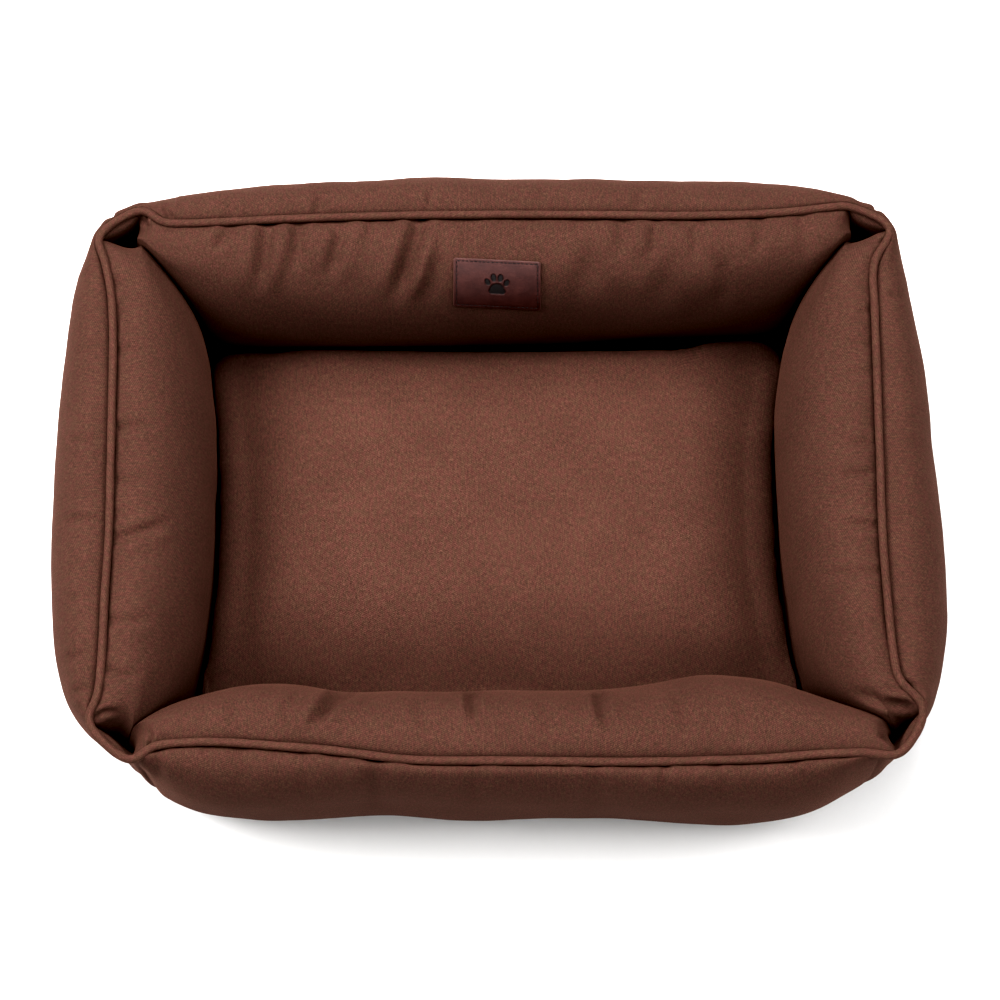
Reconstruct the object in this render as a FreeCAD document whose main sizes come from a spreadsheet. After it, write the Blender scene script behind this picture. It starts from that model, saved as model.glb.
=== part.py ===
import FreeCAD, Part
import math
import os

import Sketcher

V = FreeCAD.Vector
doc = FreeCAD.newDocument("pet_cushion_bed")
sheet = doc.addObject("Spreadsheet::Sheet", "Params")

# ---------------------------------------------------------------- sizes, mm
SIZES = [
    # walls: each bolster is drawn in its own frame, x along it, y outward, z up,
    # with y = 0 under the piping
    ("half_long", 279.0, "centre to the piping, short sides"),
    ("half_wide", 207.0, "centre to the piping, long sides"),
    ("seam_high", 154.0, "top seam above the floor"),
    ("cloth", 1.2, "cover cloth"),
    ("base_cloth", 1.2, "each of the two base cloths"),
    ("swell_mid", 45.0, "outer swell past the piping, middle of a side"),
    ("swell_run", 44.5, "the same, part of the way to the ends"),
    ("swell_side", 41.0, "the same, towards the ends"),
    ("swell_near", 31.0, "the same, close to a corner"),
    ("swell_corner", 13.0, "the same, at a corner"),
    ("swell_past", 5.0, "the same, past the corner, where the mitre cuts it off"),
    ("swell_high", 124.0, "height of the outer swell"),
    ("foot_in", 4.0, "outer base seam, inside the piping"),
    ("belly_mid", 67.0, "inner swell from the piping, middle of a side"),
    ("belly_run", 66.5, "the same, part of the way to the ends"),
    ("belly_side", 63.5, "the same, towards the ends"),
    ("belly_near", 56.0, "the same, close to a corner"),
    ("belly_corner", 42.0, "the same, at a corner"),
    ("belly_past", 30.0, "the same, past the corner"),
    ("belly_high", 88.0, "height of the inner swell"),
    ("toe_back", 5.0, "inner base seam, back from the inner swell"),
    ("split_in", 30.0, "where outer and inner panel part inside the wall"),
    ("run_share", 0.40, "station of the first section from the middle, share of the half length"),
    ("side_share", 0.68, "station of the second"),
    ("near_share", 0.87, "station of the third"),
    ("corner_past", 5.0, "station of the corner section past the corner"),
    ("end_past", 52.0, "last station past the corner"),
    ("mitre_gap", 0.05, "half of the gap between neighbouring walls"),
    # piping
    ("pipe_r", 3.6, "piping sleeve, outer radius"),
    ("pipe_bore_r", 2.5, "piping sleeve, bore radius"),
    ("cord_r", 2.4, "piping cord radius"),
    ("pipe_bend", 24.0, "piping, radius at the corners"),
    ("pipe_lift", 0.45, "piping above the seam, clear of the swelling cloth"),
    # cushion
    ("cush_long", 412.0, "cushion length"),
    ("cush_wide", 270.0, "cushion width"),
    ("cush_thick", 58.0, "cushion thickness"),
    ("cush_shift", 3.0, "cushion, moved to the front by this"),
    ("cush_gap", 0.3, "cushion above the base lining"),
    ("cush_corner", 36.0, "cushion, corner radius in plan"),
    ("cush_edge", 20.0, "cushion, edge radius"),
    ("fill_gap", 0.1, "filling inside its cover"),
    # zip in the cushion's rear edge
    ("zip_long", 304.0, "opening in the cover"),
    ("zip_slot", 3.3, "half height of the opening"),
    ("tape_thick", 0.8, "zip tape"),
    ("tape_high", 7.4, "zip tape height on each side"),
    ("chain_half", 2.15, "half height of the closed chain"),
    ("chain_gap", 0.4, "half gap between the two coils"),
    ("chain_thick", 1.9, "coil thickness"),
    ("slider_long", 9.0, "slider length"),
    ("slider_half", 4.2, "slider half width"),
    ("slider_plate", 0.9, "slider plate thickness"),
    ("slider_at", 139.0, "closed slider, centre from the middle"),
    ("web_thick", 0.5, "slider web between the coils"),
    ("pull_long", 19.0, "pull tab length"),
    ("pull_wide", 4.6, "pull tab width"),
    ("pull_thick", 0.8, "pull tab thickness"),
    ("pin_r", 0.6, "crown bar radius"),
    # leather tag on the rear inner panel
    ("tag_long", 68.0, "tag length"),
    ("tag_thick", 1.5, "tag thickness"),
    ("tag_low", 27.5, "lower edge of the tag, degrees on the panel's arc"),
    ("tag_top", 64.0, "upper edge of the tag, degrees"),
    ("tag_lift", 0.15, "tag above the cloth"),
    ("tag_shift", 2.0, "tag, left of the middle"),
    ("stitch_pitch", 3.3, "stitch pitch"),
    ("stitch_long", 2.3, "visible stitch length"),
    ("stitch_r", 0.35, "thread radius"),
    ("stitch_inset", 2.4, "stitch line, in from the tag's edge"),
]


class Q:
    """A size and the expression that gives it in the sheet."""

    def __init__(self, v, t):
        self.v, self.t = float(v), t

    def _join(self, o, sign, f):
        o = o if isinstance(o, Q) else Q(o, repr(float(o)))
        return Q(f(self.v, o.v), f"({self.t} {sign} {o.t})")

    def __add__(self, o):
        return self._join(o, "+", lambda a, b: a + b)

    def __sub__(self, o):
        return self._join(o, "-", lambda a, b: a - b)

    def __mul__(self, o):
        return self._join(o, "*", lambda a, b: a * b)

    def __truediv__(self, o):
        return self._join(o, "/", lambda a, b: a / b)

    def __neg__(self):
        return Q(-self.v, f"(0 - {self.t})")


S = {}
for row, (alias, value, words) in enumerate(SIZES, start=1):
    sheet.set(f"A{row}", words)
    sheet.set(f"B{row}", str(value))
    sheet.setAlias(f"B{row}", alias)
    S[alias] = Q(value, f"Params.{alias}")
doc.recompute()

z0 = S["base_cloth"] * 2  # top of the base lining


# ---------------------------------------------------------------- helpers
def body_of(name):
    b = doc.addObject("PartDesign::Body", name)
    b.Label = name
    return b


def sketch_on(body, name, role, offset=None):
    sk = body.newObject("Sketcher::SketchObject", name)
    plane = next(f for f in body.Origin.OriginFeatures if f.Role == role)
    sk.AttachmentSupport = [(plane, "")]
    sk.MapMode = "FlatFace"
    if offset is not None:
        sk.setExpression("AttachmentOffset.Base.z", offset.t)
        sk.AttachmentOffset = FreeCAD.Placement(
            V(0, 0, offset.v), FreeCAD.Rotation()
        )
    return sk


def pin(sk, geo, pos, x=None, y=None):
    """Holds a point at (x, y), each 0, a Q, or None for free."""
    for kind, q, axis in (("DistanceX", x, -2), ("DistanceY", y, -1)):
        if q is None:
            continue
        if not isinstance(q, Q):
            sk.addConstraint(Sketcher.Constraint("PointOnObject", geo, pos, axis))
            continue
        i = sk.addConstraint(Sketcher.Constraint(kind, -1, 1, geo, pos, q.v))
        sk.setExpression(f"Constraints[{i}]", q.t)


def num(q):
    return q.v if isinstance(q, Q) else float(q)


def polygon(sk, points):
    """A closed outline of straight lines, each corner held by the sheet."""
    first = len(sk.Geometry)
    n = len(points)
    for i in range(n):
        a, b = points[i], points[(i + 1) % n]
        sk.addGeometry(
            Part.LineSegment(V(num(a[0]), num(a[1]), 0), V(num(b[0]), num(b[1]), 0))
        )
    for i in range(n):
        sk.addConstraint(
            Sketcher.Constraint("Coincident", first + i, 2, first + (i + 1) % n, 1)
        )
    for i in range(n):
        pin(sk, first + i, 1, *points[i])


def arc_geo(centre, start, end):
    """Arc about centre, counterclockwise from start to end."""
    r = math.dist(centre, start)
    a = math.atan2(start[1] - centre[1], start[0] - centre[0])
    b = math.atan2(end[1] - centre[1], end[0] - centre[0])
    while b <= a:
        b += 2 * math.pi
    return Part.ArcOfCircle(Part.Circle(V(*centre, 0), V(0, 0, 1), r), a, b)


def side_centre(swell, base_y, base_z, swell_z):
    """Centre height is swell_z, so that the arc is upright where it swells most."""
    h = base_z - swell_z
    return (swell * swell - base_y * base_y - h * h) / (2 * (swell - base_y))


def outer_arcs(sk, swell, top_z, foot_y, foot_z):
    """Top seam to outer swell to base seam. Returns the two arcs' indices."""
    zs = S["swell_high"]
    c1 = side_centre(swell.v, 0.0, top_z.v, zs.v)
    c2 = side_centre(swell.v, foot_y.v, foot_z.v, zs.v)
    g = len(sk.Geometry)
    sk.addGeometry(arc_geo((c1, zs.v), (swell.v, zs.v), (0.0, top_z.v)))
    sk.addGeometry(arc_geo((c2, zs.v), (foot_y.v, foot_z.v), (swell.v, zs.v)))
    sk.addConstraint(Sketcher.Constraint("Coincident", g, 1, g + 1, 2))
    pin(sk, g, 1, swell, zs)
    pin(sk, g, 3, None, zs)
    pin(sk, g + 1, 3, None, zs)
    pin(sk, g, 2, 0, top_z)
    pin(sk, g + 1, 1, foot_y, foot_z)
    return g, g + 1


def inner_arcs(sk, belly, top_z, toe_y, toe_z):
    """Top seam to inner swell to inner base seam."""
    zb = S["belly_high"]
    c3 = -side_centre(belly.v, 0.0, top_z.v, zb.v)
    c4 = -side_centre(belly.v, -toe_y.v, toe_z.v, zb.v)
    g = len(sk.Geometry)
    sk.addGeometry(arc_geo((c3, zb.v), (0.0, top_z.v), (-belly.v, zb.v)))
    sk.addGeometry(arc_geo((c4, zb.v), (-belly.v, zb.v), (toe_y.v, toe_z.v)))
    sk.addConstraint(Sketcher.Constraint("Coincident", g, 2, g + 1, 1))
    pin(sk, g, 2, -belly, zb)
    pin(sk, g, 3, None, zb)
    pin(sk, g + 1, 3, None, zb)
    pin(sk, g, 1, 0, top_z)
    pin(sk, g + 1, 2, toe_y, toe_z)
    return g, g + 1


def section(sk, kind, swell, belly):
    """One cross-section of a wall: its outer half, its inner half or its filling."""
    top = S["seam_high"]
    skin = S["cloth"]
    if kind == "fill":
        top, swell, belly = top - skin, swell - skin, belly - skin
        foot, toe = -(S["foot_in"] + skin), -(belly - S["toe_back"])
        a1, a2 = outer_arcs(sk, swell, top, foot, z0)
        a3, a4 = inner_arcs(sk, belly, top, toe, z0)
        sk.addGeometry(Part.LineSegment(V(toe.v, z0.v, 0), V(foot.v, z0.v, 0)))
        sk.addConstraint(Sketcher.Constraint("Coincident", a4, 2, a4 + 1, 1))
        sk.addConstraint(Sketcher.Constraint("Coincident", a2, 1, a4 + 1, 2))
        return
    mid = -S["split_in"]
    if kind == "outer":
        foot = -S["foot_in"]
        a1, a2 = outer_arcs(sk, swell, top, foot, z0)
        g = len(sk.Geometry)
        sk.addGeometry(Part.LineSegment(V(0, top.v, 0), V(mid.v, z0.v, 0)))
        sk.addGeometry(Part.LineSegment(V(mid.v, z0.v, 0), V(foot.v, z0.v, 0)))
        sk.addConstraint(Sketcher.Constraint("Coincident", a1, 2, g, 1))
        sk.addConstraint(Sketcher.Constraint("Coincident", g, 2, g + 1, 1))
        sk.addConstraint(Sketcher.Constraint("Coincident", g + 1, 2, a2, 1))
        pin(sk, g, 2, mid, z0)
    else:
        toe = -(belly - S["toe_back"])
        if toe.v > mid.v:
            toe = toe - 1.0
        a3, a4 = inner_arcs(sk, belly, top, toe, z0)
        g = len(sk.Geometry)
        near = mid * 0.5 if toe.v > mid.v - 3 else mid
        sk.addGeometry(Part.LineSegment(V(toe.v, z0.v, 0), V(near.v, z0.v, 0)))
        sk.addGeometry(Part.LineSegment(V(near.v, z0.v, 0), V(0, top.v, 0)))
        sk.addConstraint(Sketcher.Constraint("Coincident", a4, 2, g, 1))
        sk.addConstraint(Sketcher.Constraint("Coincident", g, 2, g + 1, 1))
        sk.addConstraint(Sketcher.Constraint("Coincident", g + 1, 2, a3, 1))
        pin(sk, g, 2, near, z0)


WHERE = ["mid", "run", "side", "near", "corner", "past"]
STATIONS = [(w, -1) for w in WHERE[:0:-1]] + [("mid", 0)] + [(w, 1) for w in WHERE[1:]]


def station_x(where, sign, half):
    if where == "mid":
        return Q(0.0, "0")
    if where in ("corner", "past"):
        x = half + S[f"{where}_past" if where == "corner" else "end_past"]
    else:
        x = half * S[f"{where}_share"]
    return x if sign > 0 else -x


def wall_blank(name, kind, half, side):
    """A wall lofted along its length and mitred at both ends."""
    b = body_of(name)
    sections = []
    for i, (where, sign) in enumerate(STATIONS):
        sk = sketch_on(b, f"{name}_s{i}", "YZ_Plane", station_x(where, sign, half))
        section(sk, kind, S[f"swell_{where}"], S[f"belly_{where}"])
        sections.append(sk)
    doc.recompute()
    loft = b.newObject("PartDesign::AdditiveLoft", f"{name}_loft")
    loft.Profile = sections[0]
    loft.Sections = sections[1:]
    loft.Ruled = True
    loft.Closed = False
    doc.recompute()
    whole = loft.Shape.Volume
    # neighbouring walls part on the 45 degree planes through the corners of the piping
    back = S["mitre_gap"] if kind != "fill" else S["mitre_gap"] + S["cloth"] * 1.4142
    cut = sketch_on(b, f"{name}_mitre", "XY_Plane")
    low, high, far = -100.0, 80.0, 160.0
    for sign in (1, -1):
        pts = [
            ((half - back + low), low),
            ((half - back + high), high),
            ((half + far), high),
            ((half + far), low),
        ]
        pts = [
            (x if sign > 0 else -x, Q(y, repr(y)))
            for x, y in (pts if sign > 0 else pts[::-1])
        ]
        polygon(cut, pts)
    doc.recompute()
    pocket = b.newObject("PartDesign::Pocket", f"{name}_ends")
    pocket.Profile = cut
    pocket.Type = "ThroughAll"
    pocket.Midplane = True
    doc.recompute()
    if not pocket.Shape.Volume < whole * 0.98:
        raise RuntimeError(f"{name}: the mitre cut nothing")
    b.Tip = pocket
    place_side(b, side)
    return b


SIDES = {"back": 0, "left": 90, "front": 180, "right": -90}


def place_side(o, side):
    o.Placement = FreeCAD.Placement(
        V(0, 0, 0), FreeCAD.Rotation(V(0, 0, 1), SIDES[side])
    )
    axis, sign = {
        "back": ("y", ""),
        "front": ("y", "-"),
        "left": ("x", "-"),
        "right": ("x", ""),
    }[side]
    half = "half_wide" if axis == "y" else "half_long"
    o.setExpression(f"Placement.Base.{axis}", f"{sign}1 * Params.{half}")


def cut_of(name, base, tool):
    c = doc.addObject("Part::Cut", name)
    c.Label = name
    c.Base, c.Tool = base, tool
    return c


nodes = {}

# ---------------------------------------------------------------- the four walls
for side in SIDES:
    half = S["half_long"] if side in ("back", "front") else S["half_wide"]
    fill = wall_blank(f"wall_filling_{side}", "fill", half, side)
    outer = wall_blank(f"outer_blank_{side}", "outer", half, side)
    inner = wall_blank(f"inner_blank_{side}", "inner", half, side)
    nodes[f"wall_filling_{side}"] = fill
    nodes[f"outer_panel_{side}"] = cut_of(f"outer_panel_{side}", outer, fill)
    nodes[f"inner_panel_{side}"] = cut_of(f"inner_panel_{side}", inner, fill)
doc.recompute()


# ---------------------------------------------------------------- the base cloths
def base_sheet(name, low):
    b = body_of(name)
    sk = sketch_on(b, f"{name}_outline", "XY_Plane", low)
    x, y = S["half_long"] - S["foot_in"], S["half_wide"] - S["foot_in"]
    polygon(sk, [(-x, -y), (x, -y), (x, y), (-x, y)])
    pad = b.newObject("PartDesign::Pad", f"{name}_pad")
    pad.Profile = sk
    pad.setExpression("Length", "Params.base_cloth")
    doc.recompute()
    return b


nodes["base_underside"] = base_sheet("base_underside", Q(0.0, "0"))
nodes["base_lining"] = base_sheet("base_lining", S["base_cloth"])


# ---------------------------------------------------------------- the piping
def ring_path(b, name):
    """The run of the piping: a rectangle with rounded corners, begun at the rear's middle."""
    sk = sketch_on(b, name, "XY_Plane", S["seam_high"] + S["pipe_r"] + S["pipe_lift"])
    x, y, r = S["half_long"], S["half_wide"], S["pipe_bend"]
    X, Y, R = x.v, y.v, r.v
    pts = [
        ((0, Y), (X - R, Y)),
        ((X, Y - R), (X, -Y + R)),
        ((X - R, -Y), (-X + R, -Y)),
        ((-X, -Y + R), (-X, Y - R)),
        ((-X + R, Y), (0, Y)),
    ]
    for a, c in pts:
        sk.addGeometry(Part.LineSegment(V(*a, 0), V(*c, 0)))
    sk.addGeometry(arc_geo((X - R, Y - R), (X, Y - R), (X - R, Y)))  # 5
    sk.addGeometry(arc_geo((X - R, -Y + R), (X - R, -Y), (X, -Y + R)))  # 6
    sk.addGeometry(arc_geo((-X + R, -Y + R), (-X, -Y + R), (-X + R, -Y)))  # 7
    sk.addGeometry(arc_geo((-X + R, Y - R), (-X + R, Y), (-X, Y - R)))  # 8
    con = Sketcher.Constraint
    for a, pa, c, pc in (
        (0, 2, 5, 2), (5, 1, 1, 1), (1, 2, 6, 2), (6, 1, 2, 1),
        (2, 2, 7, 2), (7, 1, 3, 1), (3, 2, 8, 2), (8, 1, 4, 1), (4, 2, 0, 1),
    ):
        sk.addConstraint(con("Coincident", a, pa, c, pc))
    pin(sk, 0, 1, 0, y)
    pin(sk, 0, 2, x - r, y)
    pin(sk, 1, 1, x, y - r)
    pin(sk, 1, 2, x, r - y)
    pin(sk, 2, 1, x - r, -y)
    pin(sk, 2, 2, r - x, -y)
    pin(sk, 3, 1, -x, r - y)
    pin(sk, 3, 2, -x, y - r)
    pin(sk, 4, 1, r - x, y)
    for g in (5, 6, 7, 8):
        i = sk.addConstraint(con("Radius", g, R))
        sk.setExpression(f"Constraints[{i}]", r.t)
    return sk


def ring(name, r):
    """A round rod run round the top seam."""
    b = body_of(name)
    path = ring_path(b, f"{name}_path")
    sk = sketch_on(b, f"{name}_round", "YZ_Plane")
    y, z = S["half_wide"], S["seam_high"] + S["pipe_r"] + S["pipe_lift"]
    sk.addGeometry(Part.Circle(V(y.v, z.v, 0), V(0, 0, 1), r.v))
    pin(sk, 0, 3, y, z)
    i = sk.addConstraint(Sketcher.Constraint("Radius", 0, r.v))
    sk.setExpression(f"Constraints[{i}]", r.t)
    doc.recompute()
    pipe = b.newObject("PartDesign::AdditivePipe", f"{name}_sweep")
    pipe.Profile = sk
    pipe.Spine = (path, [])
    doc.recompute()
    return b


nodes["piping_sleeve"] = cut_of(
    "piping_sleeve",
    ring("piping_sleeve_rod", S["pipe_r"]),
    ring("piping_sleeve_bore", S["pipe_bore_r"]),
)
nodes["piping_cord"] = ring("piping_cord", S["cord_r"])
doc.recompute()


# ---------------------------------------------------------------- the cushion
def block(name, long, wide, low, high, corner, edge, top=True, bottom=True):
    """A pad with rounded corners in plan and a rolled edge."""
    b = body_of(name)
    sk = sketch_on(b, f"{name}_plan", "XY_Plane", low)
    x, y, s = long / 2, wide / 2, -S["cush_shift"]
    polygon(sk, [(-x, s - y), (x, s - y), (x, s + y), (-x, s + y)])
    pad = b.newObject("PartDesign::Pad", f"{name}_pad")
    pad.Profile = sk
    pad.setExpression("Length", (high - low).t)
    doc.recompute()
    upright = [
        f"Edge{i + 1}"
        for i, e in enumerate(pad.Shape.Edges)
        if abs(e.tangentAt(e.FirstParameter).z) > 0.99
    ]
    f1 = b.newObject("PartDesign::Fillet", f"{name}_corners")
    f1.Base = (pad, upright)
    f1.setExpression("Radius", corner.t)
    doc.recompute()
    rims = [
        f"Edge{i + 1}"
        for i, e in enumerate(f1.Shape.Edges)
        if all(
            (top and abs(p.Z - high.v) < 1e-4) or (bottom and abs(p.Z - low.v) < 1e-4)
            for p in e.Vertexes
        )
        and abs(e.BoundBox.ZLength) < 1e-4
    ]
    f2 = b.newObject("PartDesign::Fillet", f"{name}_edge")
    f2.Base = (f1, rims)
    f2.setExpression("Radius", edge.t)
    doc.recompute()
    return b


def cavity(b, name, long, low, high, depth_from, depth_to):
    """A rectangular recess, long in x, between two heights and two y."""
    sk = sketch_on(b, f"{name}_plan", "XY_Plane", low)
    x = long / 2
    polygon(sk, [(-x, depth_from), (x, depth_from), (x, depth_to), (-x, depth_to)])
    doc.recompute()
    before = b.Tip.Shape.Volume
    p = b.newObject("PartDesign::Pocket", name)
    p.Profile = sk
    p.Type = "Length"
    p.setExpression("Length", (high - low).t)
    p.Reversed = True
    doc.recompute()
    if p.Shape.isNull() or not p.Shape.Volume < before - 1:
        raise RuntimeError(f"{name} cut nothing: {before} {p.Shape.Volume}")
    return p


cz0 = z0 + S["cush_gap"]
cz1 = cz0 + S["cush_thick"]
czm = cz0 + S["cush_thick"] / 2
rear = S["cush_wide"] / 2 - S["cush_shift"]  # the cushion's rear face
inset = S["cloth"] + S["fill_gap"]
fill = block(
    "cushion_filling",
    S["cush_long"] - inset * 2,
    S["cush_wide"] - inset * 2,
    cz0 + inset,
    cz1 - inset,
    S["cush_corner"] - inset,
    S["cush_edge"] - inset,
)
tape_face = rear - S["cloth"] - 0.1
cavity(
    fill,
    "tape_room",
    S["zip_long"] + 8.0,
    czm - S["chain_half"] - S["tape_high"] - 0.3,
    czm + S["chain_half"] + S["tape_high"] + 0.3,
    tape_face - S["tape_thick"] - 0.3,
    rear + 5.0,
)
cavity(
    fill,
    "slider_room",
    S["zip_long"] + 8.0,
    czm - S["slider_half"] - 0.5,
    czm + S["slider_half"] + 0.5,
    tape_face - S["tape_thick"] - 2.2,
    rear + 5.0,
)
nodes["cushion_filling"] = fill

whole = block(
    "cushion_filling_blank",
    S["cush_long"] - S["cloth"] * 2,
    S["cush_wide"] - S["cloth"] * 2,
    cz0 + S["cloth"],
    cz1 - S["cloth"],
    S["cush_corner"] - S["cloth"],
    S["cush_edge"] - S["cloth"],
)
slot = doc.addObject("Part::Box", "zip_opening")
slot.setExpression("Length", S["zip_long"].t)
slot.setExpression("Height", (S["zip_slot"] * 2).t)
slot.setExpression("Width", (S["cloth"] + 4.0).t)
slot.setExpression("Placement.Base.x", (-(S["zip_long"] / 2)).t)
slot.setExpression("Placement.Base.y", (rear - S["cloth"] - 2.0).t)
slot.setExpression("Placement.Base.z", (czm - S["zip_slot"]).t)
for name, low, high, top in (
    ("cushion_cover_top", czm, cz1, True),
    ("cushion_cover_bottom", cz0, czm, False),
):
    blank = block(
        f"{name}_blank", S["cush_long"], S["cush_wide"], low, high,
        S["cush_corner"], S["cush_edge"], top=top, bottom=not top,
    )
    shell = cut_of(f"{name}_shell", blank, whole)
    nodes[name] = cut_of(name, shell, slot)
doc.recompute()


# ---------------------------------------------------------------- the zip
def zip_half(name, sign):
    """One tape with its coil along the tape's edge."""
    b = body_of(name)
    sk = sketch_on(b, f"{name}_profile", "YZ_Plane")
    y1 = tape_face
    y0 = tape_face - S["tape_thick"]
    cy1 = y0 + S["chain_thick"]
    c = S["chain_half"]
    near = czm + S["chain_gap"] if sign > 0 else czm - S["chain_gap"]
    edge = czm + c if sign > 0 else czm - c
    far = czm + (c + S["tape_high"]) if sign > 0 else czm - (c + S["tape_high"])
    polygon(sk, [(y0, near), (cy1, near), (cy1, edge), (y1, edge), (y1, far), (y0, far)])
    pad = b.newObject("PartDesign::Pad", f"{name}_pad")
    pad.Profile = sk
    pad.setExpression("Length", S["zip_long"].t)
    pad.Midplane = True
    doc.recompute()
    return b


nodes["zip_tape_upper"] = zip_half("zip_tape_upper", 1)
nodes["zip_tape_lower"] = zip_half("zip_tape_lower", -1)

# stops clamped across both coils at the ends of the run
stops = []
for i, sign in enumerate((1, -1)):
    box = doc.addObject("Part::Box", f"zip_stop_{i}")
    box.Length, box.setExpression("Width", "0.8")
    box.Length = 2.0
    box.setExpression("Height", (S["chain_half"] * 2 + 0.6).t)
    x = S["zip_long"] / 2 - 3.0
    box.setExpression("Placement.Base.x", (x if sign > 0 else -(x + 2.0)).t)
    box.setExpression(
        "Placement.Base.y",
        (tape_face - S["tape_thick"] + S["chain_thick"] + 0.02).t,
    )
    box.setExpression("Placement.Base.z", (czm - S["chain_half"] - 0.3).t)
    stops.append(box)
pair = doc.addObject("Part::Compound", "zip_stops")
pair.Label = "zip_stops"
pair.Links = stops
nodes["zip_stops"] = pair

# slider: a plate each side of the chain, a web between the coils, and a crown
sl = body_of("zip_slider")
sx = S["slider_at"]
hl = S["slider_long"] / 2
out0 = rear + 0.15
out1 = out0 + S["slider_plate"]
in1 = tape_face - S["tape_thick"] - 0.35
in0 = in1 - S["slider_plate"]
sk = sketch_on(sl, "slider_profile", "YZ_Plane", sx - hl)
hw, wb = S["slider_half"], S["web_thick"] / 2
polygon(
    sk,
    [
        (in0, czm - hw), (in1, czm - hw), (in1, czm - wb), (out0, czm - wb),
        (out0, czm - hw), (out1, czm - hw), (out1, czm + hw), (out0, czm + hw),
        (out0, czm + wb), (in1, czm + wb), (in1, czm + hw), (in0, czm + hw),
    ],
)
pad = sl.newObject("PartDesign::Pad", "slider_pad")
pad.Profile = sk
pad.setExpression("Length", S["slider_long"].t)
doc.recompute()
# crown: two posts and the bar that the pull turns on
bar_y = out1 + 1.15
for i, sign in enumerate((1, -1)):
    ck = sketch_on(sl, f"crown_post_{i}", "XZ_Plane", -out1)
    a, b_ = S["pull_wide"] / 2 - 1.15, S["pull_wide"] / 2 - 1.85
    lo, hi = (czm + b_, czm + a) if sign > 0 else (czm - a, czm - b_)
    polygon(ck, [(sx - 1.0, lo), (sx + 1.0, lo), (sx + 1.0, hi), (sx - 1.0, hi)])
    cp = sl.newObject("PartDesign::Pad", f"crown_post_pad_{i}")
    cp.Profile = ck
    cp.Length = 1.9
    cp.Reversed = True
    doc.recompute()
    cp.Reversed = cp.Shape.BoundBox.YMax > out1.v + 1.0
    doc.recompute()
    if cp.Shape.BoundBox.YMax < out1.v + 1.0:
        cp.Reversed = not cp.Reversed
        doc.recompute()
bk = sketch_on(sl, "crown_bar", "XY_Plane", czm - (S["pull_wide"] / 2 - 1.3))
bk.addGeometry(Part.Circle(V(sx.v, bar_y.v, 0), V(0, 0, 1), S["pin_r"].v))
pin(bk, 0, 3, sx, bar_y)
i = bk.addConstraint(Sketcher.Constraint("Radius", 0, S["pin_r"].v))
bk.setExpression(f"Constraints[{i}]", S["pin_r"].t)
bp = sl.newObject("PartDesign::Pad", "crown_bar_pad")
bp.Profile = bk
bp.setExpression("Length", (S["pull_wide"] - 2.6).t)
doc.recompute()
nodes["zip_slider"] = sl

# pull: a flat tab with an eye round the crown bar
pu = body_of("zip_pull")
pk = sketch_on(pu, "pull_plan", "XZ_Plane", -(bar_y + S["pull_thick"] / 2))
pw = S["pull_wide"] / 2
polygon(
    pk,
    [
        (sx - 2.1, czm - pw), (sx + S["pull_long"] - 2.1, czm - pw),
        (sx + S["pull_long"] - 2.1, czm + pw), (sx - 2.1, czm + pw),
    ],
)
pp = pu.newObject("PartDesign::Pad", "pull_pad")
pp.Profile = pk
pp.setExpression("Length", S["pull_thick"].t)
doc.recompute()
if pp.Shape.BoundBox.YMin < bar_y.v - S["pull_thick"].v:
    pp.Reversed = True
    doc.recompute()
ek = sketch_on(pu, "pull_eye", "XZ_Plane", -(bar_y + 3.0))
eh = S["pull_wide"] / 2 - 0.95
polygon(
    ek,
    [(sx - 1.45, czm - eh), (sx + 1.6, czm - eh), (sx + 1.6, czm + eh), (sx - 1.45, czm + eh)],
)
ep = pu.newObject("PartDesign::Pocket", "pull_eye_cut")
ep.Profile = ek
ep.Type = "ThroughAll"
ep.Midplane = True
doc.recompute()
nodes["zip_pull"] = pu

# ---------------------------------------------------------------- the leather tag
belly, zb, top = S["belly_mid"].v, S["belly_high"].v, S["seam_high"].v
tc = -side_centre(belly, 0.0, top, zb)  # centre of the panel's upper arc
tr = belly + tc  # and its radius
tag = body_of("leather_tag")
tk = sketch_on(tag, "tag_profile", "YZ_Plane")
r0, r1 = tr + S["tag_lift"].v, tr + S["tag_lift"].v + S["tag_thick"].v
a0, a1 = math.radians(180 - S["tag_top"].v), math.radians(180 - S["tag_low"].v)
centre = (tc, zb)


def on(r, a):
    return (centre[0] + r * math.cos(a), centre[1] + r * math.sin(a))


tk.addGeometry(arc_geo(centre, on(r1, a0), on(r1, a1)))
tk.addGeometry(arc_geo(centre, on(r0, a0), on(r0, a1)))
tk.addGeometry(Part.LineSegment(V(*on(r0, a0), 0), V(*on(r1, a0), 0)))
tk.addGeometry(Part.LineSegment(V(*on(r0, a1), 0), V(*on(r1, a1), 0)))
con = Sketcher.Constraint
for a, pa, c, pc in ((2, 1, 1, 1), (2, 2, 0, 1), (3, 1, 1, 2), (3, 2, 0, 2)):
    tk.addConstraint(con("Coincident", a, pa, c, pc))
tk.addConstraint(con("Coincident", 0, 3, 1, 3))
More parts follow.
